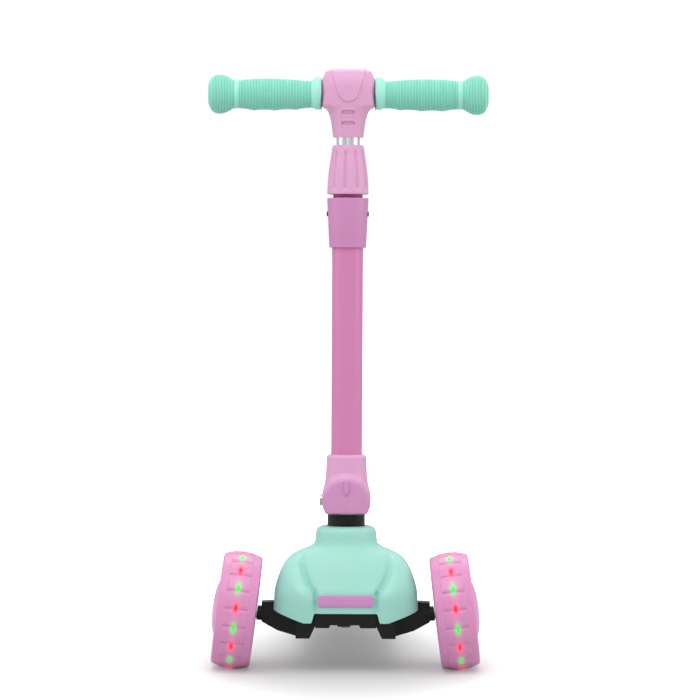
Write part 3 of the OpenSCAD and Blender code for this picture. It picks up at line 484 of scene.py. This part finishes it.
around = np.linspace(0.0, 2 * np.pi, 721)[None, :]
across, radius = (part[:, None] for part in tyre_profile())
for side, word in ((-1, "left"), (1, "right")):
    r = radius + tread_change(around, across) * (radius > core_r + 1)
    ring = np.stack([r * np.sin(around), r * np.cos(around), across + 0 * around], axis=-1)
    tyre = make_piece(f"{word}_tyre_skin", [on_wheel(ring, side)], f"front_wheel_{word}",
                      [f"tyre_{word}"], tyre_pu, 50)
    spots = np.empty(len(tyre.data.vertices) * 3)
    tyre.data.vertices.foreach_get("co", spots)
    spots = spots.reshape(-1, 3) / MM
    centre = on_wheel([0.0, 0.0, 0.0], side)
    ways = [on_wheel(way, side) - centre for way in np.eye(3)]
    ahead, top, out = ((spots - centre) @ way for way in ways)
    turn_at = np.arctan2(ahead, top)
    on_tread = (np.hypot(ahead, top) > core_r + 8).astype(float)
    for name, first in (("red_glow", 0.0), ("green_glow", np.pi / LIGHTS)):
        glow = tyre.data.attributes.new(name, "FLOAT", "POINT")
        glow.data.foreach_set("value", (glow_of(turn_at, out, first) * on_tread).astype(np.float32))

# %% [markdown]
# The hub cap is a shallow dome with two fine turned rings.

# %% Hub caps
cap_r, cap_rise = 27.5, 5.0
RING_RADII, RING_DEPTH, RING_WIDTH = (22.0, 12.0), 0.35, 0.7
bow = np.linspace(np.pi / 2, 0.0, 40)
dome_r = cap_r * np.cos(bow)
dome_z = TYRE_HALF + cap_rise * np.sin(bow)
dome_z -= sum(RING_DEPTH * bell(dome_r, ring_r, RING_WIDTH) for ring_r in RING_RADII)
cap_r_all = np.concatenate([dome_r, [cap_r, 0.0]])
cap_z_all = np.concatenate([dome_z, [TYRE_HALF - 5.0, TYRE_HALF - 5.0]])
for side, word in ((-1, "left"), (1, "right")):
    make_piece(f"{word}_hub_dome", [on_wheel(turned(cap_r_all, cap_z_all), side)],
               f"front_wheel_{word}", [f"hub_cap_{word}"], hub_plastic, 40)

# %% [markdown]
# The folding joint's housing is a moulded shell round the hinge. It is a stack of rounded outlines
# along the stem, wider at the hinge, open below and at the back where the neck passes on folding.

# %% Fold housing
HOUSE_LEVEL = [-13.2, -11, -8, -4.6, 0, 6.6, 12.7, 16, 21, 31, 43.5]
HOUSE_HALF = [21.9, 23.2, 24.4, 24.9, 25.2, 25.0, 23.5, 22.6, 21.8, 21.0, 20.5]
HOUSE_TOP_IN, HOUSE_TOP_UP = 4.2, 3.6
LIP_R, LIP_TOP, LIP_DEEP = 16.1, 46.9, 4.0
ROOF_R, ROOF_Z = 18.4, 43.0
NECK_SLOT, SLOT_TOP, SLOT_FROM_Y = 19.3, 21.0, 0.4
SLOT_SIDE_R, SLOT_EDGE_R = 24.0, 24.6


def house_ring(level, angle, shrink=0.0):
    """The housing's outline at a height: a circle that grows towards the hinge, flatter in front."""
    half = smooth_through(level, HOUSE_LEVEL, HOUSE_HALF) - shrink
    x, y = super_round(half, half, 2.15, angle)
    if shrink == 0.0:
        from_hub = np.hypot(x, level + 1.0)
        ledge = 4.6 * (1 - ease(from_hub, 22.5, 30.0)) * ease(-y, 6.0, 16.0)
        y = np.maximum(y - ledge, -27.0 + 0.25 * np.maximum(from_hub - 22.0, 0.0))
    return x, y


levels = np.linspace(HOUSE_LEVEL[0], HOUSE_LEVEL[-1], 90)[:, None]
angle = np.linspace(-np.pi / 2, 3 * np.pi / 2, 241)[None, :]
x, y = house_ring(levels, angle)
outer = np.stack([x, y, levels + 0 * angle], axis=-1)
turn = np.linspace(0.0, np.pi / 2, 8)[1:, None]
top_half = HOUSE_HALF[-1] - HOUSE_TOP_IN * (1 - np.cos(turn))
top_x, top_y = super_round(top_half, top_half, 2.1, angle)
top = np.stack([top_x, top_y, HOUSE_LEVEL[-1] + HOUSE_TOP_UP * np.sin(turn) + 0 * angle], axis=-1)
lip = np.stack([LIP_R * np.cos(angle), LIP_R * np.sin(angle), LIP_TOP + 0 * angle], axis=-1)
lip_low = lip - np.array([0.0, 0.0, LIP_DEEP])
roof_in_x, roof_in_y = super_round(ROOF_R, ROOF_R, 2.1, angle)
roof_in = np.stack([roof_in_x, roof_in_y, ROOF_Z + 0 * angle], axis=-1)
x, y = house_ring(levels[::-1], angle, WALL)
inner = np.stack([x, y, levels[::-1] + 0 * angle], axis=-1)
walls = np.concatenate([outer, top, lip, lip_low, roof_in, inner, outer[:1]])
in_slot = (np.abs(walls[..., 0]) < NECK_SLOT) & (walls[..., 2] < SLOT_TOP)
opening = (walls[..., 1] > SLOT_FROM_Y) & in_slot
walls[..., 0] = np.where(opening, np.sign(walls[..., 0] + 1e-9) * NECK_SLOT, walls[..., 0])
side_y = SLOT_SIDE_R * np.sqrt(np.clip(1 - (NECK_SLOT / SLOT_EDGE_R) ** 2, 0, 1))
walls[..., 1] = np.where(opening, np.clip(walls[..., 1], 0.0, side_y), walls[..., 1])

# %% [markdown]
# Folding pushes the back of the shell over the neck, so the rear opening has to stay open. The
# faces that would close it are left out. The shell's inner side is part of the same grid.

# %% Fold housing: mesh with its rear opening
house_piece = make_piece("fold_housing_shell", [on_stem(walls)], "stem", ["fold_housing"],
                         pink_plastic, 50)
work = bmesh.new()
work.from_mesh(house_piece.data)
across_gap = []
for face in work.faces:
    spread = [v.co.x / MM for v in face.verts]
    if min(spread) < -NECK_SLOT + 1 and max(spread) > NECK_SLOT - 1:
        across_gap.append(face)
bmesh.ops.delete(work, geom=across_gap, context="FACES")
work.to_mesh(house_piece.data)
work.free()
print("rear opening: left out", len(across_gap), "faces")

# %% [markdown]
# The release pad is a thick disc set in the housing's front, cut off flat below. Its edge is
# generously rounded, and a small arrow stands out of its face.

# %% Release pad
PAD_R, PAD_Z, PAD_BACK, PAD_FACE, PAD_ROUND = 24.3, -1.0, -21.9, -28.0, 4.2
pad_turn = np.linspace(0.0, np.pi / 2, 10)
pad_inset = np.concatenate([[PAD_R], [0.0], PAD_ROUND * (1 - np.cos(pad_turn)), [6.0, 14.0, PAD_R]])
pad_depth = np.concatenate([[PAD_BACK], [PAD_BACK], PAD_FACE + PAD_ROUND * (1 - np.sin(pad_turn)),
                            [PAD_FACE - 0.2, PAD_FACE - 0.45, PAD_FACE - 0.5]])
a = np.linspace(0.0, 2 * np.pi, 145)[None, :]
pad_r = (PAD_R - pad_inset)[:, None]
pad_x, pad_z = pad_r * np.cos(a), PAD_Z + pad_r * np.sin(a)
pad_floor = HOUSE_LEVEL[0] + 0.35 * np.minimum(pad_inset[:, None], PAD_ROUND)
pad = np.stack([pad_x, pad_depth[:, None] + 0 * a, np.maximum(pad_z, pad_floor)], axis=-1)
TAIL_HALF, HEAD_HALF, TAIL_TOP, HEAD_TOP, TIP = 2.3, 4.4, 20.8, 12.6, 4.8
ARROW = np.array([[-TAIL_HALF, TAIL_TOP], [TAIL_HALF, TAIL_TOP], [TAIL_HALF, HEAD_TOP],
                  [HEAD_HALF, HEAD_TOP], [0.0, TIP], [-HEAD_HALF, HEAD_TOP], [-TAIL_HALF, HEAD_TOP],
                  [-TAIL_HALF, TAIL_TOP]])
arrow_rings = []
middle = np.array([0.0, HEAD_TOP])
for size, depth in ((0.0, PAD_FACE + 0.3), (1.0, PAD_FACE + 0.3), (1.0, PAD_FACE - 1.5),
                    (0.86, PAD_FACE - 1.9), (0.0, PAD_FACE - 1.9)):
    ring = middle + (ARROW - middle) * size
    arrow_rings.append(np.column_stack([ring[:, 0], np.full(len(ring), depth), ring[:, 1]]))


def brick(low, high):
    """A box between two corners, as two square rings along Y closed by points in their middles."""
    corner = np.array([[low[0], low[2]], [high[0], low[2]], [high[0], high[2]], [low[0], high[2]],
                       [low[0], low[2]]])
    mean = np.tile(corner[:4].mean(axis=0), (5, 1))
    rings = ((mean, low[1]), (corner, low[1]), (corner, high[1]), (mean, high[1]))
    return np.array([np.column_stack([ring[:, 0], np.full(5, y), ring[:, 1]]) for ring, y in rings])


# The catch behind the pad: a base and two prongs, below and above the lock lever's front end. Each
# has two corners, given as (back, up).
CATCH_HALF = 5.0
CATCH_PARTS = (((-22.4, 15.9), (-19.4, 24.1)), ((-20.0, 15.9), (-15.5, 18.2)),
               ((-20.0, 21.8), (-15.5, 24.1)))
catch = [brick((-CATCH_HALF, *low), (CATCH_HALF, *high)) for low, high in CATCH_PARTS]
pad_grids = [on_stem(grid) for grid in (pad, np.array(arrow_rings), *catch)]
make_piece("release_pad_face", pad_grids, "release_pad", ["release_pad"], pad_plastic, 40)

# %% [markdown]
# The stem's upper parts are all turned shapes about the stem: a tapered sleeve, a twist collar
# with ten shallow finger flutes that end in rounded tips, and the sliding tube between them.

# %% Upper sleeve
SLEEVE_LOW_R, SLEEVE_HIGH_R, SLEEVE_ROUND, CLAMP_ABOVE = 18.0, 20.4, 0.9, 36.6
sleeve_low, sleeve_high = stem_height("upper_sleeve", 0) + 1.0, stem_height("clamp_ring", 1) - CLAMP_ABOVE
turn = np.linspace(0.0, np.pi / 2, 6)
sleeve_r = np.concatenate([[LIP_R, SLEEVE_LOW_R], SLEEVE_LOW_R + SLEEVE_ROUND * np.sin(turn),
                           SLEEVE_HIGH_R + SLEEVE_ROUND * np.cos(turn), [15.3, 15.3]])
sleeve_z = np.concatenate([[sleeve_low, sleeve_low], sleeve_low + SLEEVE_ROUND * (1 - np.cos(turn)),
                           sleeve_high - SLEEVE_ROUND * (1 - np.sin(turn)), [sleeve_high, sleeve_high - 8.0]])
make_piece("upper_sleeve_skin", [on_stem(turned(sleeve_r, sleeve_z, 128))], "stem",
           ["upper_sleeve"], sleeve_plastic, 50)

# %% Twist collar
TWIST_GAP, TWIST_H = 3.8, 50.5
FLUTES, FLUTE_DEPTH, FLUTE_TURN = 10, 1.8, math.radians(8)
twist_low = sleeve_high + TWIST_GAP
t = np.linspace(0.0, 1.0, 120)[:, None]
a = np.linspace(0.0, 2 * np.pi, 481)[None, :]
height = t * TWIST_H
plain_r = smooth_through(t, [0.0, 0.29, 0.6, 0.8, 0.93, 1.0], [21.3, 20.7, 19.0, 17.4, 16.4, 15.9])
plain_r = plain_r - 1.6 * (1 - np.sqrt(1 - ease(t, 0.955, 1.0) ** 2 * 0.999)) - 0.7 * (1 - ease(t, 0, 0.02))
pitch = 2 * np.pi / FLUTES
off = (np.mod(a + np.pi / 2 + FLUTE_TURN + pitch / 2, pitch) - pitch / 2) * plain_r
length_way = np.maximum(np.maximum(7.5 - height, height - (TWIST_H - 9.0)), 0.0)
reach = np.sqrt(off**2 + (length_way * 0.6) ** 2)
flute = -FLUTE_DEPTH * (1 - ease(reach, 0.3, 2.5))
r = plain_r + flute
skin = np.stack([r * np.cos(a), r * np.sin(a), twist_low + height + 0 * a], axis=-1)
hole = turned([12.3, 12.3, 15.5, 15.5], [twist_low + TWIST_H, twist_low + 34.0, twist_low + 33.0, twist_low],
              480)
make_piece("twist_collar_skin", [on_stem(np.concatenate([skin, hole, skin[:1]]))], "twist_collar",
           ["twist_collar"], pink_plastic, 45)

# %% [markdown]
# The sliding tube has one soft groove down its front, which keeps the bar square to the stem.

# %% Inner tube
TUBE_R, TUBE_GROOVE_DEPTH, TUBE_GROOVE_WIDTH = 12.0, 1.2, 1.2
tube_low, tube_high = stem_height("inner_tube", 0) + 0.7, stem_height("inner_tube", 1) - 0.7
a = np.linspace(0.0, 2 * np.pi, 241)[None, :]
groove_at = (np.mod(a + np.pi / 2 + np.pi, 2 * np.pi) - np.pi) * TUBE_R
tube_r = TUBE_R - TUBE_GROOVE_DEPTH * bell(groove_at, 0.0, TUBE_GROOVE_WIDTH)
tube_z = np.array([tube_low, tube_low, tube_high, tube_high])[:, None]
tube_r = np.array([0.0, 1.0, 1.0, 0.0])[:, None] * tube_r
tube = np.stack([tube_r * np.cos(a), tube_r * np.sin(a), tube_z + 0 * a], axis=-1)
make_piece("inner_tube_skin", [on_stem(tube)], "handlebar", ["inner_tube"], tube_silver, 40)

# %% [markdown]
# The T-cap holds the bar. It grows from a round neck into a block with rounded shoulders. A raised
# shield and two sunk slots on its front are pushed out of and into the same grid of points.

# %% T-cap
bar_low, bar_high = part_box("bar_tube")
bar_z = ((bar_low[2] + bar_high[2]) / 2 / MM - hinge[2]) / stem_up[2]
CAP_BELOW_BAR, CAP_TOP_ROUND, CAP_POLE = 43.8, 2.0, 70.2
CAP_BORE_R, CAP_BORE_DEEP = 12.05, 8.0
cap_low = bar_z - CAP_BELOW_BAR
CAP_LEVEL = [0, 6, 13, 19.3, 23.3, 26.8, 29.3, 30.8, 32.3, 35.3, 43.3, 54.3, 60.3, 64.5, 67.8, 69.8]
CAP_HALF = [15.5, 16.3, 17.2, 18.4, 19.6, 21.2, 23.6, 26.2, 27.4, 27.9, 28.1, 27.9, 26.6, 24.6, 22.4, 17.8]
CAP_DEEP = [15.4, 16.0, 16.6, 17.4, 18.0, 18.5, 18.9, 19.1, 19.3, 19.5, 19.6, 19.0, 17.6, 15.6, 12.4, 8.0]
CAP_POWER = [2.0, 2.1, 2.2, 2.3, 2.4, 2.6, 2.9, 3.2, 3.5, 3.6, 3.6, 3.5, 3.2, 2.9, 2.6, 2.4]
SLOT_LEVELS, SLOT_HALF, SLOT_R, SLOT_DEEP = (24.8, 13.6), 7.1, 2.4, 1.9
SHIELD_LEVEL = [35.4, 37.0, 38.8, 43.8, 53.8, 66.4, 70.8]
SHIELD_HALF = [0.0, 4.4, 6.9, 10.2, 13.6, 17.2, 18.0]
SHIELD_PROUD, SHIELD_FULL = 1.1, 36.4


def pill(x, z, middle_z, half_length, half_height):
    """Distance outside a pill-shaped outline, negative inside it."""
    return np.hypot(np.maximum(np.abs(x) - (half_length - half_height), 0.0), z - middle_z) - half_height


def cap_relief(x, z):
    """The shield stands 1.1 mm proud inside a U outline, and two slots are 1.9 mm deep."""
    half = smooth_through(z, SHIELD_LEVEL, SHIELD_HALF)
    above_foot = ease(z, SHIELD_LEVEL[0], SHIELD_FULL)
    shield = SHIELD_PROUD * (1 - ease(np.abs(x) - half, -0.6, 0.4)) * above_foot
    lip = 0.5 * bell(np.abs(x) - half, -0.5, 0.7) * above_foot
    outside = [pill(x, z, level, SLOT_HALF, SLOT_R) for level in SLOT_LEVELS]
    slots = sum(-SLOT_DEEP * (1 - ease(away, -0.6, 0.2)) for away in outside)
    rims = sum(0.4 * bell(away, 0.8, 0.6) for away in outside)
    return shield + lip + slots + rims


def cap_half(angles, rows):
    """Half of the cap's skin between two angles round the stem, closed along the split."""
    shoulder_z = CAP_LEVEL[-2]
    crown_z = shoulder_z + np.linspace(0.1, 1.0, 10) * CAP_TOP_ROUND
    z = np.concatenate([np.linspace(0.0, shoulder_z, rows), crown_z])[:, None]
    half, deep = smooth_through(z, CAP_LEVEL, CAP_HALF), smooth_through(z, CAP_LEVEL, CAP_DEEP)
    x, y = super_round(half, deep, smooth_through(z, CAP_LEVEL, CAP_POWER), angles[None, :])
    push = cap_relief(x, z) * ease(-y / deep, 0.45, 0.8)
    y = y - push
    skin = np.stack([x, y, z + 0 * x], axis=-1)
    pole = np.zeros_like(skin[:1]) + np.array([0.0, 0.0, CAP_POLE])
    foot = np.stack([CAP_BORE_R * np.cos(angles), CAP_BORE_R * np.sin(angles), 0 * angles], axis=-1)[None]
    foot_up = foot + np.array([0.0, 0.0, CAP_BORE_DEEP])
    return np.concatenate([foot_up, foot, skin, pole]) + np.array([0.0, 0.0, cap_low])


front_half = cap_half(np.linspace(-np.pi, 0.0, 241), 210)
rear_half = cap_half(np.linspace(0.0, np.pi, 121), 110)
make_piece("t_cap_front_shell", [on_stem(front_half)], "handlebar", ["cap_front"], pink_plastic, 50)
make_piece("t_cap_rear_shell", [on_stem(rear_half)], "handlebar", ["cap_rear"], pink_plastic, 50)

# %% [markdown]
# Each grip is a turned rubber moulding with a flange, a swelling palm, a ribbed knob, and three low
# finger ridges underneath. Fine ribs 1.55 mm apart run round it, and two mould lines run along it.

# %% Grips
grip_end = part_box("grip_right")[1][0] / MM
GRIP_AT = [0, 1.2, 6.6, 8.0, 9.8, 14.5, 26, 44, 60, 76, 84, 87.5, 90.5, 94, 98, 102, 106, 110, 113.5, 116.4]
GRIP_R = [15.6, 16.3, 16.2, 15.0, 14.3, 14.4, 15.4, 16.4, 16.5, 15.8, 14.8, 14.7, 15.2, 17.2, 19.2, 20.2,
          20.4, 19.2, 16.2, 9.5]
RIB_PITCH, RIB_DEPTH, LINE_HEIGHT, LINE_WIDTH = 1.55, 0.75, 0.28, 0.02
RIDGE_AT, RIDGE_HEIGHT, GRIP_LIFT = (26.0, 48.0, 69.0), 0.9, 1.5
grip_len = GRIP_AT[-1]


def rib_depth(s):
    """From 0 on a rib to 1 between two ribs: a raised cosine of the place along the grip."""
    palm = ease(s, 9.6, 10.6) * (1 - ease(s, 84.6, 85.6))
    knob = ease(s, 88.6, 89.6) * (1 - ease(s, 114.5, 116.0))
    return (0.5 + 0.5 * np.cos(2 * np.pi * s / RIB_PITCH)) ** 1.5 * (palm + knob)


def grip_grid(rows=460, columns=97):
    """Radius along the grip from a smooth curve, plus ribs, finger ridges below and mould lines."""
    s = np.linspace(0.0, grip_len, rows)[:, None]
    a = np.linspace(0.0, 2 * np.pi, columns)[None, :]
    r = smooth_through(s, GRIP_AT, GRIP_R)
    ribs = -RIB_DEPTH * rib_depth(s)
    below = ease(-np.sin(a), 0.2, 1.0)
    ridges = sum(RIDGE_HEIGHT * bell(s, at, 4.2) for at in RIDGE_AT) - 0.5 * bell(s, 47.0, 30.0)
    line_at = (2 * np.pi - math.radians(169.0), math.radians(11.0))
    line = sum(LINE_HEIGHT * bell(a, at, LINE_WIDTH) for at in line_at)
    r = r + ribs + ridges * below + line * ease(s, 7.0, 9.0)
    lift = GRIP_LIFT * (1 - ease(s, 4.0, 12.0))
    return s + 0 * a, r * np.cos(a), r * np.sin(a) + lift


for side, word in ((-1, "left"), (1, "right")):
    s, forward, up = grip_grid()
    start = grip_end - grip_len
    grid = np.stack([side * (start + s), -forward, up + bar_z], axis=-1)
    first = np.stack([grid[0, :, 0], 0 * s[0], bar_z + 0 * s[0]], axis=-1)[None]
    last = np.stack([side * grip_end + 0 * s[0], 0 * s[0], bar_z + 0 * s[0]], axis=-1)[None]
    grip = make_piece(f"{word}_grip_rubber", [on_stem(np.concatenate([first, grid, last]))], "handlebar",
                      [f"grip_{word}"], grip_rubber, 70)
    # Painted shade: each point's place between two ribs darkens the rubber's colour there.
    spots = np.empty(len(grip.data.vertices) * 3)
    grip.data.vertices.foreach_get("co", spots)
    along = np.abs(spots[0::3]) / MM - start
    shade = grip.data.attributes.new("painted_rib_shade", "FLOAT", "POINT")
    shade.data.foreach_set("value", rib_depth(along).astype(np.float32))

# %% [markdown]
# The studio is a wide pale floor in a white surround, with large soft lights above, behind and on
# both sides, so that the moulded shapes shade gently.

# %% Floor and lights
def soft_light(name, place, aim, size, power):
    """A square area light at a place, turned to look at its aim."""
    lamp = bpy.data.lights.new(name, "AREA")
    lamp.size, lamp.energy = size, power
    light = bpy.data.objects.new(name, lamp)
    light.location = place
    light.rotation_euler = (Vector(aim) - Vector(place)).to_track_quat("-Z", "Y").to_euler()
    bpy.context.scene.collection.objects.link(light)


floor_mesh = bpy.data.meshes.new("studio_floor")
FLOOR = 9
corners = [(-FLOOR, -FLOOR, 0), (FLOOR, -FLOOR, 0), (FLOOR, FLOOR, 0), (-FLOOR, FLOOR, 0)]
floor_mesh.from_pydata(corners, [], [(0, 1, 2, 3)])
floor = bpy.data.objects.new("studio_floor", floor_mesh)
bpy.context.scene.collection.objects.link(floor)
# Matt white paper. The camera also sees it glow, more so away from the scooter, until it is white.
floor_paper, shader = new_material("white_paper_floor", "#fafafa", 0.9,
                                   {"Emission Color": linear("#ffffff"), "Specular IOR Level": 0.1})
place = add_node(floor_paper, "ShaderNodeTexCoord")
away = add_node(floor_paper, "ShaderNodeVectorMath", {"operation": "DISTANCE"},
                {1: (0.0, axle_y * MM, 0.0)}, {0: place.outputs["Object"]})
lit = add_node(floor_paper, "ShaderNodeMapRange", {"interpolation_type": "SMOOTHSTEP"},
               {"From Min": 0.35, "From Max": 0.9, "To Min": 0.20}, {"Value": away.outputs["Value"]})
seen = add_node(floor_paper, "ShaderNodeLightPath")
glow = add_node(floor_paper, "ShaderNodeMath", {"operation": "MULTIPLY"}, links={
    0: lit.outputs["Result"], 1: seen.outputs["Is Camera Ray"]})
# A painted shadow: the paper is tinted darker under the scooter, in a soft pool that is longest from front to
# back.
# Light that bounces off the paper meets a plain light grey instead.
pool = add_node(floor_paper, "ShaderNodeMapping", {"vector_type": "TEXTURE"},
                {"Location": (0.0, axle_y * MM + 0.02, 0.0), "Scale": (0.22, 0.36, 1.0)},
                {"Vector": place.outputs["Object"]})
from_pool = add_node(floor_paper, "ShaderNodeVectorMath", {"operation": "LENGTH"}, (),
                     {0: pool.outputs["Vector"]})
shade = add_node(floor_paper, "ShaderNodeMapRange", {"interpolation_type": "SMOOTHSTEP"},
                 {"From Min": 0.35, "From Max": 1.0}, {"Value": from_pool.outputs["Value"]})
paper = add_node(floor_paper, "ShaderNodeMix", {"data_type": "RGBA"},
                 {"A": linear("#c2c2c2"), "B": linear("#fafafa")}, {"Factor": shade.outputs["Result"]})
tone = add_node(floor_paper, "ShaderNodeMix", {"data_type": "RGBA"}, {"A": linear("#d2d2d2")},
                {"B": paper.outputs["Result"], "Factor": seen.outputs["Is Camera Ray"]})
floor_paper.node_tree.links.new(glow.outputs["Value"], shader.inputs["Emission Strength"])
floor_paper.node_tree.links.new(tone.outputs["Result"], shader.inputs["Base Color"])
floor_mesh.materials.append(floor_paper)
middle = (0.0, axle_y * MM, 0.3)
soft_light("key_above", (-0.3, -1.7, 2.5), middle, 2.2, 29.0)
soft_light("side_left", (-2.0, -0.5, 1.0), middle, 1.4, 6.0)
soft_light("side_right", (2.0, -0.5, 1.0), middle, 1.4, 8.0)
soft_light("top_back", (0.0, 1.2, 2.4), middle, 1.8, 14.0)
# The surround gives more light from above than from below, and the camera sees it plain white.
world = bpy.data.worlds.new("studio")
world.use_nodes = True
backdrop = world.node_tree.nodes["Background"]
backdrop.inputs["Color"].default_value = linear("#ffffff")
seen_by = add_node(world, "ShaderNodeLightPath")
way = add_node(world, "ShaderNodeNewGeometry")
height = add_node(world, "ShaderNodeSeparateXYZ", links={"Vector": way.outputs["Incoming"]})
dome = add_node(world, "ShaderNodeMapRange", values={"From Min": 0.25, "From Max": -0.8, "To Min": 0.46,
                                                     "To Max": 0.85},
                links={"Value": height.outputs["Z"]})
strength = add_node(world, "ShaderNodeMix", values={"B": 1.05}, links={
    "Factor": seen_by.outputs["Is Camera Ray"], "A": dome.outputs["Result"]})
world.node_tree.links.new(strength.outputs["Result"], backdrop.inputs["Strength"])
bpy.context.scene.world = world
bpy.context.scene.view_settings.view_transform = "Standard"

# %% [markdown]
# The camera stands well back at about the height of the handlebar and looks slightly down, so the
# scooter is seen almost square from the front.

# %% Camera
DISTANCE, EYE, LOOK, ASIDE, ROLL = 3.5, 0.585, 0.3285, 0.0030, 0.30
LENS, SENSOR = 176.4, 36.0
eye = Vector((ASIDE, axle_y * MM - DISTANCE, EYE))
look = Vector((ASIDE, axle_y * MM, LOOK))
camera_data = bpy.data.cameras.new("camera")
camera_data.sensor_width = SENSOR
camera_data.lens = LENS
camera = bpy.data.objects.new("camera", camera_data)
turn_camera = (look - eye).to_track_quat("-Z", "Y").to_matrix().to_4x4()
roll = Matrix.Rotation(math.radians(ROLL), 4, "Z")
camera.matrix_world = Matrix.Translation(eye) @ turn_camera @ roll
bpy.context.scene.collection.objects.link(camera)
bpy.context.scene.camera = camera
